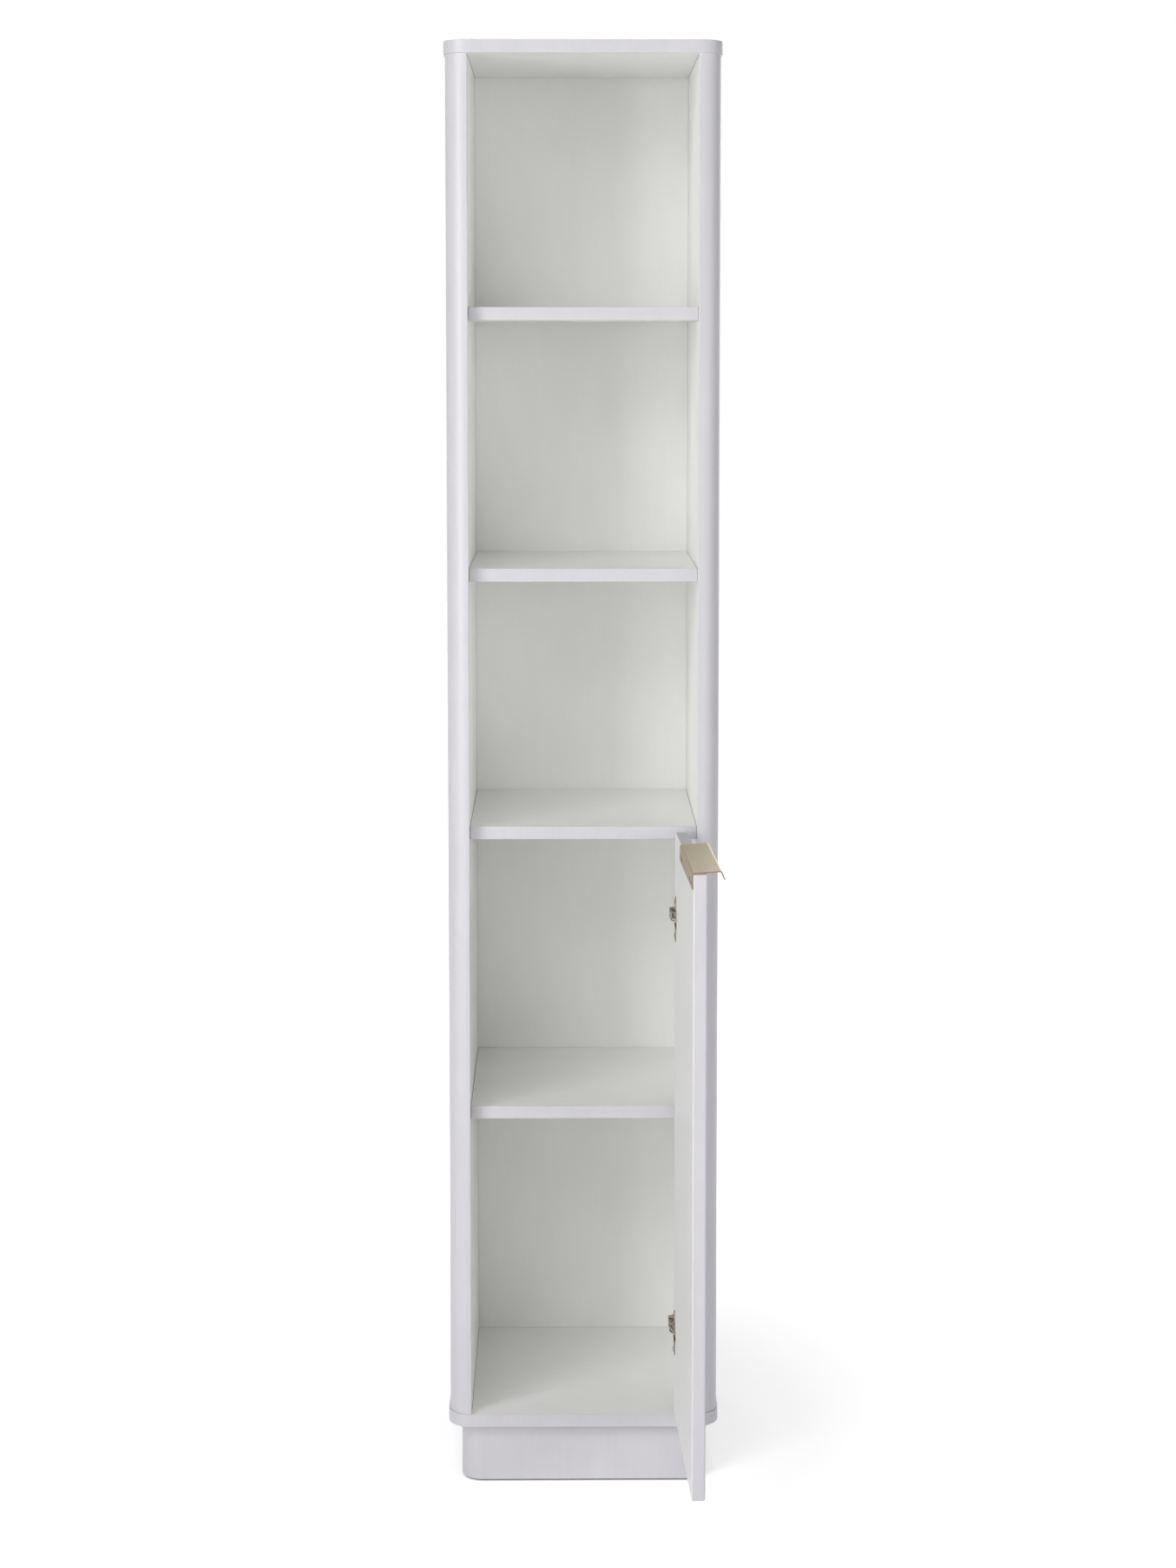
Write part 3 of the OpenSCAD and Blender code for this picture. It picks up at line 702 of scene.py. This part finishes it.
def node_points(node: str) -> np.ndarray:
    """Reads the vertices of a frame node.

    Args:
        node: The frame node.

    Returns:
        One row for each vertex, in metres.
    """
    mesh = FRAME["nodes"][node].data
    flat = np.zeros(len(mesh.vertices) * 3)
    mesh.vertices.foreach_get("co", flat)
    return flat.reshape(-1, 3)


def grid_faces(rows: int, columns: int) -> Faces:
    """Quads of a grid of vertices whose last column joins the first.

    Args:
        rows: Rows of the grid.
        columns: Columns of the grid.

    Returns:
        The quads, pointing outwards where columns run anticlockwise and rows upwards.
    """
    row = np.arange(rows - 1)[:, None] * columns
    column = np.arange(columns)[None, :]
    here, after = row + column, row + (column + 1) % columns
    quads = np.stack([here, after, after + columns, here + columns], axis=-1)
    return [tuple(quad) for quad in quads.reshape(-1, 4).tolist()]


def eased_prism(
    outline: Outline,
    low: float,
    high: float,
    ease: tuple[float, float],
    steps: int = 4,
    strip: bool = False,
) -> Surface:
    """A prism whose two rims are rounded.

    Rings of the outline are set in by ease (1 - sin a) at the height low + ease (1 - cos a), for a from
    0 to a right angle, and likewise at the top. A flat cap closes each end.

    Args:
        outline: The section.
        low: Lowest height.
        high: Highest height.
        ease: Radii of the low and high rims.
        steps: Steps of each rim.
        strip: Whether the section is a bent strip, whose second half runs back beside its first. Each
            cap is then made of quads across the strip.

    Returns:
        Local vertices and faces.
    """
    turn = np.linspace(0.0, math.pi / 2, steps + 1)
    fall, rise = 1 - np.sin(turn), 1 - np.cos(turn)
    inset = np.concatenate([ease[0] * fall, ease[1] * rise])
    height = np.concatenate([low + ease[0] * rise, high - ease[1] * fall])
    rings = outline.points[None] - outline.normals[None] * inset[:, None, None]
    heights = np.broadcast_to(height[:, None, None], (*rings.shape[:2], 1))
    vertices = np.concatenate([rings, heights], axis=2).reshape(-1, 3)
    rows, columns = rings.shape[:2]
    faces = grid_faces(rows, columns)
    if strip:
        near = np.arange(columns // 2 - 1)
        quads = np.stack([near, columns - 1 - near, columns - 2 - near, near + 1], axis=1)
        faces += [tuple(quad) for quad in quads.tolist()]
        faces += [tuple(quad) for quad in (quads[:, ::-1] + (rows - 1) * columns).tolist()]
    else:
        faces.append(tuple(range(columns - 1, -1, -1)))
        faces.append(tuple(range((rows - 1) * columns, rows * columns)))
    return vertices, faces


def revolved(
    profile: np.ndarray, relief: Callable[[np.ndarray, np.ndarray], np.ndarray], turns: int = 48
) -> Surface:
    """A turned form with a relief in its upper face.

    Each point of the profile (radius, height) goes round the axis, and its height drops by the relief.

    Args:
        profile: (radius, height) from the middle of the upper face to the middle of the lower end.
        relief: Depth at given x and y; it counts on the upper face only.
        turns: Steps round the axis.

    Returns:
        Local vertices and faces.
    """
    angle = np.linspace(0.0, 2 * math.pi, turns, endpoint=False)
    x = profile[:, :1] * np.cos(angle)
    y = profile[:, :1] * np.sin(angle)
    upper = (np.arange(len(profile)) <= int(profile[:, 0].argmax()))[:, None]
    z = profile[:, 1:] - np.where(upper, relief(x, y), 0.0)
    vertices = np.stack([x, y, z], axis=2).reshape(-1, 3)[::-1]
    return vertices, [tuple(reversed(face)) for face in grid_faces(len(profile), turns)]


# Pieces


class Maker:
    """Turns meshes into finished pieces that ride on the frame."""

    def __init__(self, materials: dict[Slot, Material]) -> None:
        """Keeps the material of each slot."""
        self.materials = materials
        self.made: list[bpy.types.Object] = []

    def mesh(self, name: str, surface: Surface, axes: Axes = WORLD_AXES) -> Mesh:
        """A mesh of a local surface.

        Args:
            name: Name of the mesh.
            surface: Local vertices, and faces that point outwards in right-handed axes.
            axes: The local axes.

        Returns:
            The mesh, in world places.
        """
        vertices, faces = surface
        made = bpy.data.meshes.new(name)
        turned = [tuple(reversed(face)) for face in faces] if axes.mirrored else faces
        made.from_pydata(axes.place(vertices).tolist(), [], turned)
        made.validate()
        return made

    def finish(
        self,
        mesh: Mesh,
        body: Body,
        slot: Slot,
        replaces: Sequence[str],
        sharp: float = 40.0,
        bevel: float = 0.0,
        material: Material | None = None,
    ) -> None:
        """Makes a mesh a piece of the object.

        Args:
            mesh: The mesh, with its place in its vertices.
            body: The body that it rides on.
            slot: Its material slot.
            replaces: Frame nodes that it stands for.
            sharp: Edges that turn by more degrees than this stay sharp.
            bevel: Width of a small bevel on such edges, or 0 for none.
            material: Its material, where that isn't the slot's own.
        """
        piece = bpy.data.objects.new(mesh.name, mesh)
        bpy.context.scene.collection.objects.link(piece)
        mesh.materials.clear()
        mesh.materials.append(material or self.materials[slot])
        mesh.shade_smooth()
        if bevel:
            modifier = piece.modifiers.new("eased edges", "BEVEL")
            modifier.width = bevel
            modifier.segments = 2
            modifier.limit_method = "ANGLE"
            modifier.angle_limit = math.radians(sharp)
        else:
            mesh.set_sharp_from_angle(angle=math.radians(sharp))
        piece.modifiers.new("even shading", "WEIGHTED_NORMAL").keep_sharp = True
        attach(piece, body.value)
        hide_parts(*replaces)
        self.made.append(piece)
        LOG.info("%s: %d faces on %s", piece.name, len(mesh.polygons), body.value)

    def softened(self, node: str, body: Body, slot: Slot, bevel: float) -> None:
        """Puts a copy of a frame node, with bevels of a given width, in the node's place."""
        self.finish(merged_copy(node), body, slot, [node], sharp=32.0, bevel=bevel)


def merged_copy(node: str) -> Mesh:
    """Copies a frame node's mesh, with its doubles merged and its flat faces joined.

    Args:
        node: The frame node.

    Returns:
        The copy.
    """
    working = bmesh.new()
    working.from_mesh(FRAME["nodes"][node].data)
    bmesh.ops.remove_doubles(working, verts=working.verts, dist=MERGE)
    bmesh.ops.dissolve_limit(working, angle_limit=FLAT, verts=working.verts, edges=working.edges)
    made = bpy.data.meshes.new(node + "_softened")
    working.to_mesh(made)
    working.free()
    return made


@dataclass
class Carcass:
    """The boards of the cabinet: top, bottom, sides and shelves."""

    maker: Maker
    edge_ease: float = 0.8 * MM
    rear_corner: float = 1.0 * MM
    shelf_corner: float = 0.7 * MM
    shelf_ease: float = 0.5 * MM
    front_corner: float = 29.0 * MM
    side_round: float = 26.46 * MM
    fine_edge: float = 0.45 * MM
    shelves: tuple[str, ...] = ("shelf_upper", "shelf_middle", "shelf_divider", "shelf_cupboard")

    def build(self) -> None:
        """Builds every board."""
        front, rear, side, fine = self.front_corner, self.rear_corner, self.side_round, self.fine_edge
        for node in ("top_panel", "bottom_panel"):
            self._board(node, (front, front, rear, rear), self.edge_ease, 24, 4)
        self._board("side_panel_left", (side, fine, rear, rear), 0.0, 24, 1)
        self._board("side_panel_right", (fine, side, rear, rear), 0.0, 24, 1)
        for node in self.shelves:
            self._board(node, (self.shelf_corner,) * 4, self.shelf_ease, 3, 3)

    def _board(self, node: str, radii: Sequence[float], ease: float, arc: int, rim: int) -> None:
        """Puts a board in the place of a frame node.

        Args:
            node: The frame node.
            radii: Radii of its corners from above, anticlockwise from the front left.
            ease: Radius of its rims.
            arc: Steps round each corner.
            rim: Steps of each rim.
        """
        low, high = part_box(node)
        outline = Outline.rectangle(low.xy, high.xy, radii, arc)
        mesh = self.maker.mesh(node + "_board", eased_prism(outline, low.z, high.z, (ease, ease), rim))
        self.maker.finish(mesh, Body.CABINET, Slot.WHITE_BOARD, [node])


@dataclass
class Plinth:
    """The recessed base: a bent front board, and the glides under it."""

    maker: Maker
    board_t: float = 16.0 * MM
    outer_radius: float = 27.0 * MM
    ease: float = 0.5 * MM
    glide_ease: float = 0.5 * MM

    def build(self) -> None:
        """Builds the bent front board and the glides."""
        low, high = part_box("plinth_front")
        t, r, e = self.board_t, self.outer_radius, self.ease
        corners = [
            (low.x, high.y, 2 * e),
            (low.x, low.y, r),
            (high.x, low.y, r),
            (high.x, high.y, 2 * e),
            (high.x - t, high.y, 2 * e),
            (high.x - t, low.y + t, r - t),
            (low.x + t, low.y + t, r - t),
            (low.x + t, high.y, 2 * e),
        ]
        board = eased_prism(Outline.rounded(corners, 20), low.z, high.z, (e, e), strip=True)
        mesh = self.maker.mesh("plinth_front_board", board)
        self.maker.finish(mesh, Body.CABINET, Slot.WHITE_BOARD, ["plinth_front"])
        self.maker.softened("glides", Body.CABINET, Slot.GLIDE_PLASTIC, self.glide_ease)


@dataclass
class Door:
    """The open door and its edge pull, in axes that lie along the door."""

    maker: Maker
    lean: float = math.radians(2.0)
    front_ease: float = 2.5 * MM
    back_ease: float = 1.5 * MM
    face_corner: float = 2.6 * MM
    bore_d: float = 26.1 * MM
    bore_depth: float = 11.2 * MM
    bore_steps: int = 96
    pull_t: float = 1.6 * MM
    flange_h: float = 18.0 * MM
    reach: float = 15.4 * MM
    rise: float = 2.0 * MM
    lip_out: float = 4.0 * MM
    lip_drop: float = 9.0 * MM
    bend: float = 0.9 * MM
    sheet_edge: float = 0.5 * MM
    rim: float = 0.35 * MM
    cups: tuple[str, ...] = ("hinge_upper_cup", "hinge_lower_cup")
    axes: Axes = field(init=False)

    @classmethod
    def directions(cls) -> tuple[np.ndarray, np.ndarray]:
        """Directions of the open door: from hinge edge to free end, and from back to front."""
        sin, cos = math.sin(cls.lean), math.cos(cls.lean)
        return np.array([sin, -cos, 0.0]), np.array([cos, sin, 0.0])

    def __post_init__(self) -> None:
        """Sets the axes: x from the hinge edge to the free end, y up, z from the back to the front."""
        along, through = self.directions()
        bare = Axes(np.zeros(3), along, UP, through)
        low, _ = bare.spans("door_panel")
        self.axes = Axes(bare.place(low), along, UP, through)

    def build(self) -> None:
        """Builds the panel and the pull."""
        self._panel()
        self._pull()

    def _panel(self) -> None:
        """The panel: rounded front edges, and a bore for each hinge cup."""
        _, size = self.axes.spans("door_panel")
        outline = Outline.rectangle((0.0, 0.0), size[:2], (self.face_corner,) * 4, 6)
        panel = eased_prism(outline, 0.0, size[2], (self.back_ease, self.front_ease), 6)
        mesh = self.maker.mesh("door_board", panel, self.axes)
        for cup in self.cups:
            mesh = self._bored(mesh, cup)
        self.maker.finish(mesh, Body.DOOR, Slot.WHITE_BOARD, ["door_panel"], sharp=30.0)

    def _bored(self, mesh: Mesh, cup: str) -> Mesh:
        """Bores the door for one cup.

        Args:
            mesh: The door's mesh.
            cup: Frame node of the cup.

        Returns:
            The mesh with the bore.
        """
        low, high = self.axes.spans(cup)
        x, y = (low[:2] + high[:2]) / 2
        angle = np.linspace(0.0, 2 * math.pi, self.bore_steps, endpoint=False)
        normals = np.stack([np.cos(angle), np.sin(angle)], axis=1)
        circle = Outline(normals * self.bore_d / 2 + (x, y), normals)
        bore = eased_prism(circle, -self.bore_depth, self.bore_depth, (0.0, 0.0), 1)
        cutter = bpy.data.objects.new("bore", self.maker.mesh("bore", bore, self.axes))
        board = bpy.data.objects.new("board", mesh)
        for each in (cutter, board):
            bpy.context.scene.collection.objects.link(each)
        cut = board.modifiers.new("bore", "BOOLEAN")
        cut.operation = "DIFFERENCE"
        cut.solver = "EXACT"
        cut.object = cutter
        bpy.context.view_layer.update()
        cut_board = board.evaluated_get(bpy.context.evaluated_depsgraph_get())
        bored = bpy.data.meshes.new_from_object(cut_board)
        for each in (cutter, board):
            spent = each.data
            bpy.data.objects.remove(each)
            bpy.data.meshes.remove(spent)
        bored.name = "door_board"
        return bored

    def _pull(self) -> None:
        """The pull: one strip of metal folded over the door's top edge, from the flange to the lip."""
        low, high = self.axes.spans("edge_pull")
        _, (_, top, front) = self.axes.spans("door_panel")
        fold = (front + self.reach, top + self.rise)
        tip = (fold[0] + self.lip_out, fold[1] - self.lip_drop)
        outline = self._folded_outline(np.array([(0.0, top - self.flange_h), (0.0, top), fold, tip]))
        profile_axes = Axes(self.axes.origin, self.axes.z, self.axes.y, self.axes.x)
        pull = eased_prism(outline, low[0], high[0], (self.rim, self.rim), 3, strip=True)
        mesh = self.maker.mesh("edge_pull_strip", pull, profile_axes)
        self.maker.finish(mesh, Body.DOOR, Slot.BRUSHED_BRASS, ["edge_pull"], sharp=30.0)

    def _folded_outline(self, path: np.ndarray) -> Outline:
        """Outline of a folded sheet whose inner face follows a path.

        Each outer corner lies on the mitre of its bend, where the offsets of the two legs cross.

        Args:
            path: (depth, height) of the inner face, from the flange's foot to the lip's tip.

        Returns:
            The outline, with its bends rounded.
        """
        legs = np.diff(path, axis=0)
        legs /= np.linalg.norm(legs, axis=1, keepdims=True)
        left = np.stack([-legs[:, 1], legs[:, 0]], axis=1)
        before = np.vstack([left[:1], left])
        after = np.vstack([left, left[-1:]])
        mitre = before + after
        mitre /= (mitre * after).sum(axis=1, keepdims=True)
        outer = path + mitre * self.pull_t
        wide, tight, end = self.bend + self.pull_t, self.bend, self.sheet_edge
        corners = [(*p, r) for p, r in zip(path, (end, tight, tight, end))]
        corners += [(*p, r) for p, r in zip(outer[::-1], (end, wide, wide, end))]
        return Outline.rounded(corners, steps=6)


@dataclass
class CrossHeadScrew:
    """A screw with a domed head and a cross recess; sizes are shares of the head's radius or height."""

    maker: Maker
    dome: float = 0.55
    recess_reach: float = 0.62
    recess_half_width: float = 0.13
    recess_depth: float = 0.75
    wall_steepness: float = 9.0
    end_steepness: float = 16.0
    rings: int = 20
    head_rim: float = 0.97
    foot: float = 0.01 * MM

    def replace(
        self, node: str, body: Body, slot: Slot, facing: np.ndarray, material: Material | None = None
    ) -> None:
        """Replaces every screw of a frame node.

        Args:
            node: The frame node.
            body: The body that it rides on.
            slot: Its material slot.
            facing: Level direction that the heads face.
            material: Its material, where that isn't the slot's own.
        """
        across = np.cross(facing, UP)
        matrix = np.stack([across, np.cross(facing, across), facing])
        all_vertices, all_faces, count = [], [], 0
        for island in islands(node):
            local = island @ matrix.T
            low, high = local.min(axis=0), local.max(axis=0)
            middle = (low + high) / 2
            out = np.hypot(*(local[:, :2] - middle[:2]).T)
            radius = (high[0] - low[0]) / 2
            height = high[2] - local[out > radius * self.head_rim, 2].min()
            shank = out[local[:, 2] < low[2] + self.foot].max()
            vertices, faces = self._screw(radius, height, shank, high[2] - low[2])
            all_vertices.append((vertices + (*middle[:2], high[2])) @ matrix)
            all_faces += [tuple(index + count for index in face) for face in faces]
            count += len(vertices)
        mesh = self.maker.mesh(node + "_cross_heads", (np.vstack(all_vertices), all_faces))
        self.maker.finish(mesh, body, slot, [node], sharp=50.0, material=material)

    def _screw(self, radius: float, height: float, shank: float, length: float) -> Surface:
        """One screw, with the top of its head at the origin.

        The head falls off as the fourth power of the radius, and the recess as a rounded cross.

        Args:
            radius: Radius of the head.
            height: Height of the head.
            shank: Radius of the shank.
            length: Whole length.

        Returns:
            Local vertices and faces.
        """
        share = np.linspace(0.0, 1.0, self.rings)
        top = np.stack([share * radius, -height * self.dome * share**4], axis=1)
        rest = np.array([(radius, -height), (shank, -height), (shank, shank - length), (0.0, -length)])

        def relief(x: np.ndarray, y: np.ndarray) -> np.ndarray:
            """Depth of the recess."""
            return self.recess_depth * height * self._cross(np.abs(x) / radius, np.abs(y) / radius)

        return revolved(np.vstack([top, rest]), relief)

    def _cross(self, x: np.ndarray, y: np.ndarray) -> np.ndarray:
        """A rounded cross: 1 / (1 + e^(steepness (d - 1))) across an arm, times the same along it.

        Args:
            x: Distances from one middle line, as shares of the head's radius.
            y: Distances from the other.

        Returns:
            1 in the cross, falling to 0 outside it.
        """
        wide = np.minimum(x, y) / self.recess_half_width
        far = np.maximum(x, y) / self.recess_reach
        wall = 1 + np.exp((wide - 1) * self.wall_steepness)
        return 1 / (wall * (1 + np.exp((far - 1) * self.end_steepness)))


def islands(node: str) -> list[np.ndarray]:
    """Parts the vertices of a frame node by solid.

    Args:
        node: The frame node.

    Returns:
        The vertices of each separate solid.
    """
    working = bmesh.new()
    working.from_mesh(FRAME["nodes"][node].data)
    bmesh.ops.remove_doubles(working, verts=working.verts, dist=MERGE)
    left = set(working.verts)
    found = []
    while left:
        reached = {left.pop()}
        edge = set(reached)
        while edge:
            edge = {other for v in edge for e in v.link_edges for other in e.verts} - reached
            reached |= edge
        left -= reached
        found.append(np.array([tuple(v.co) for v in reached]))
    working.free()
    return found


@dataclass
class ConcealedHinge:
    """One cup hinge: the plate and arm on the cabinet, two links, and the cup in the door."""

    maker: Maker
    screws: CrossHeadScrew
    name: str
    door_axes: Axes
    bevel: float = 0.18 * MM
    fine_bevel: float = 0.1 * MM

    def build(self) -> None:
        """Builds every piece of the hinge."""
        self._soften("plate", Body.CABINET, self.bevel)
        self._soften("arm", Body.CABINET, self.bevel)
        self._soften("arm_pins", Body.CABINET, self.fine_bevel)
        self._soften("spring", Body.CABINET, 0.0)
        self._soften("cup", Body.DOOR, self.bevel)
        self._soften("cup_pins", Body.DOOR, self.fine_bevel)
        for link in ("outer_link", "inner_link"):
            self._soften(link, Body(f"{self.name}_{link}"), self.fine_bevel)
        left = np.array([-1.0, 0.0, 0.0])
        for piece in ("plate_screws", "arm_screws"):
            self.screws.replace(f"hinge_{self.name}_{piece}", Body.CABINET, Slot.SCREW_STEEL, left)
        back = -self.door_axes.z
        self.screws.replace(f"hinge_{self.name}_cup_screws", Body.DOOR, Slot.SCREW_STEEL, back)

    def _soften(self, piece: str, body: Body, bevel: float) -> None:
        """Softens the edges of one pressed or turned piece."""
        slot = Slot.SPRING_STEEL if piece == "spring" else Slot.NICKEL_STEEL
        self.maker.softened(f"hinge_{self.name}_{piece}", body, slot, bevel)


@dataclass(frozen=True)
class Lamp:
    """A square soft lamp that points at a place; sizes in metres and power in watts."""

    name: str
    place: Triple
    target: Triple
    size: float
    power: float
    colour: Colour = (0.995, 0.99, 1.0)

    def build(self) -> None:
        """Adds the lamp to the scene."""
        data = bpy.data.lights.new(self.name, "AREA")
        data.size = self.size
        data.energy = self.power
        data.color = self.colour
        lamp = bpy.data.objects.new(self.name, data)
        bpy.context.scene.collection.objects.link(lamp)
        lamp.location = self.place
        aim = Vector(self.target) - Vector(self.place)
        lamp.rotation_euler = aim.to_track_quat("-Z", "Y").to_euler()


@dataclass(frozen=True)
class Studio:
    """The camera, the lamps, the white floor and the backdrop."""

    photo_height: float = 1800.0
    focal_px: float = 3145.4
    rise_px: float = 235.0
    sensor_mm: float = 36.0
    sight: float = 60.0
    eye: Triple = (-0.0250, -3.5043, 1.4281)
    look_down: float = math.radians(4.808)
    look_right: float = math.radians(0.525)
    lamps: tuple[Lamp, ...] = (
        Lamp("key", (-3.0, -3.2, 1.2), (0.0, 0.0, 0.9), 1.8, 70.0),
        Lamp("high_left", (-2.4, -2.6, 2.6), (0.0, 0.0, 1.0), 1.4, 29.0),
        Lamp("top", (-0.9, -3.0, 3.2), (0.0, 0.0, 0.9), 1.6, 28.5),
        Lamp("front", (0.0, -4.4, 1.7), (0.0, 0.0, 0.9), 2.0, 9.0),
        Lamp("right_fill", (2.0, -3.4, 1.5), (0.0, 0.0, 0.9), 1.6, 14.0),
        Lamp("right_side", (3.0, -1.6, 1.6), (0.0, 0.0, 0.9), 1.4, 21.0),
        Lamp("low_left", (-1.2, -2.2, 0.7), (0.0, 0.0, 0.6), 1.0, 5.0),
        Lamp("low_right", (1.8, -2.4, 0.55), (0.15, 0.0, 0.5), 0.9, 7.5),
        Lamp("overhead", (0.0, 0.6, 3.6), (0.0, 0.0, 1.8), 1.0, 22.0),
        Lamp("rear", (1.5, 3.4, 1.9), (0.0, 0.0, 0.9), 2.2, 24.0),
    )
    ambient: float = 0.04
    floor_half: float = 12.0
    floor_grey: float = 0.9
    near_white: float = 0.49
    contact_blur: float = 4.0 * MM
    fade_start: float = 0.3
    fade_length: float = 0.9

    def build(self) -> None:
        """Builds the whole studio."""
        self._camera()
        for lamp in self.lamps:
            lamp.build()
        self._world()
        self._floor()
        bpy.context.scene.view_settings.view_transform = "Standard"

    def _camera(self) -> None:
        """The camera: eye level with the upper shelf, looking a little down, with the frame lowered."""
        data = bpy.data.cameras.new("camera")
        camera = bpy.data.objects.new("camera", data)
        bpy.context.scene.collection.objects.link(camera)
        data.sensor_width = self.sensor_mm
        data.lens = self.sensor_mm * self.focal_px / self.photo_height
        data.shift_y = -self.rise_px / self.photo_height
        data.clip_end = self.sight
        camera.location = self.eye
        camera.rotation_euler = (math.pi / 2 - self.look_down, 0.0, -self.look_right)
        bpy.context.scene.camera = camera

    @staticmethod
    def _seen(tree: NodeTree) -> Value:
        """1 for rays that show the backdrop: from the camera, or by way of a gloss or a glass.

        Args:
            tree: The tree that needs them.

        Returns:
            The mask.
        """
        kinds = ("Camera", "Glossy", "Transmission")
        camera, gloss, glass = (tree.node("LightPath", output=f"Is {kind} Ray") for kind in kinds)
        return camera.either(gloss).either(glass)

    def _world(self) -> None:
        """White where it is seen, and a soft grey light elsewhere."""
        world = bpy.data.worlds.new("studio")
        bpy.context.scene.world = world
        tree = NodeTree(world)
        colour = tree.blend(self._seen(tree), (self.ambient,) * 3, (1.0, 1.0, 1.0))
        background = tree.node("Background", None, {"Color": colour, "Strength": 1.0})
        tree.node("OutputWorld", None, {"Surface": background})

    def _painted_contact_shadow(self, place: Value) -> Value:
        """0 on the floor under the plinth, rising to 1 at its edge: taking the glow away there paints a
        contact shadow.

        The distance past the edge of a box with round corners is the length of the part of |x| and |y|
        that lies beyond the middles of the corners, less their radius.

        Args:
            place: Object coordinates of the floor.

        Returns:
            The mask.
        """
        front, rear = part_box("plinth_front"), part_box("plinth_rear")
        radius = Plinth.outer_radius
        x, y, _ = place.tree.axes(place)
        middle = (front[0].y + rear[1].y) / 2
        beside = (x.magnitude() - (front[1].x - radius)).either(0.0)
        beyond = ((y - middle).magnitude() - (rear[1].y - middle - radius)).either(0.0)
        past = (beside * beside + beyond * beyond).root() - radius
        return (past * (1.0 / self.contact_blur) + 1.0).clamped()

    def _floor(self) -> None:
        """A white floor that keeps the cabinet's shadow and fades to pure white away from it."""
        h = self.floor_half
        mesh = bpy.data.meshes.new("floor")
        mesh.from_pydata([(-h, -h, 0.0), (h, -h, 0.0), (h, h, 0.0), (-h, h, 0.0)], [], [(0, 1, 2, 3)])
        floor = bpy.data.objects.new("floor", mesh)
        bpy.context.scene.collection.objects.link(floor)
        material = bpy.data.materials.new("white_floor")
        tree = NodeTree(material)
        place = tree.node("TexCoord", output="Object")
        distance = tree.node("VectorMath", {"operation": "LENGTH"}, {0: place}, "Value")
        far = distance.lifted(self.fade_start, 1.0 / self.fade_length)
        white = self.near_white + far * (1.0 - self.near_white)
        # Taking the glow away under the plinth paints its contact shadow.
        glow = self._seen(tree) * white * self._painted_contact_shadow(place)
        matt = tree.node("BsdfDiffuse", None, {"Color": _rgba((self.floor_grey,) * 3)})
        light = tree.node("Emission", None, {"Color": _rgba((1.0, 1.0, 1.0)), "Strength": glow})
        both = tree.node("AddShader", None, {0: matt, 1: light})
        tree.node("OutputMaterial", None, {"Surface": both})
        mesh.materials.append(material)


def finishes() -> dict[Slot, Material]:
    """Makes the material of every slot.

    Returns:
        The materials by slot.
    """
    lengths = -node_points("edge_pull") @ Door.directions()[0]
    ends = (float(lengths.min()), float(lengths.max()))
    kinds = {
        # The outer tone is darker and the inside tone lighter than the paint alone: partly painted shade
        # and painted bounce light.
        Slot.WHITE_BOARD: Lacquer("white_lacquer", (0.59, 0.58, 0.607), (0.912, 0.917, 0.897)),
        Slot.DOWEL_WOOD: BareWood("beech", (0.62, 0.44, 0.26), (0.05, 1.0, 1.0)),
        Slot.BLOCK_BOARD: BareWood("softwood_block", (0.6, 0.46, 0.3)),
        Slot.GLIDE_PLASTIC: MouldedPlastic("dark_plastic", (0.03, 0.03, 0.03)),
        Slot.BRUSHED_BRASS: BrushedMetal("champagne_brass", (0.47, 0.41, 0.29), 0.5, -Door.lean, ends),
        Slot.NICKEL_STEEL: PlatedSteel("nickel_plate", (0.4, 0.355, 0.315)),
        Slot.SCREW_STEEL: PlatedSteel("screw_plate", (0.4, 0.36, 0.32), 0.3, 500.0),
        Slot.SPRING_STEEL: PlatedSteel("spring_steel", (0.4, 0.4, 0.42), 0.22, 800.0),
    }
    return {slot: kind.material() for slot, kind in kinds.items()}


def dress_rest(materials: dict[Slot, Material]) -> None:
    """Gives each frame node that still shows the material of its slot.

    Args:
        materials: The materials by slot.
    """
    slots = {part["node"]: Slot(part["material_slot"]) for part in FRAME["record"]["subparts"]}
    for node, piece in FRAME["nodes"].items():
        piece.data.materials.clear()
        piece.data.materials.append(materials[slots[node]])


def main() -> None:
    """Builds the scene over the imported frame."""
    materials = finishes()
    dress_rest(materials)
    maker = Maker(materials)
    Studio().build()
    Carcass(maker).build()
    Plinth(maker).build()
    door = Door(maker)
    door.build()
    screws = CrossHeadScrew(maker)
    burnished = BrushedMetal("burnished_brass", (0.2, 0.17, 0.12), 0.38, -Door.lean).material()
    screws.replace("pull_screws", Body.DOOR, Slot.BRUSHED_BRASS, -door.axes.z, burnished)
    for name in ("upper", "lower"):
        ConcealedHinge(maker, screws, name, door.axes).build()
    LOG.info("%d pieces made over %d frame nodes", len(maker.made), len(FRAME["nodes"]))


if __name__ == "__main__":
    logging.basicConfig(level=logging.INFO, format="%(name)s: %(message)s")
    main()
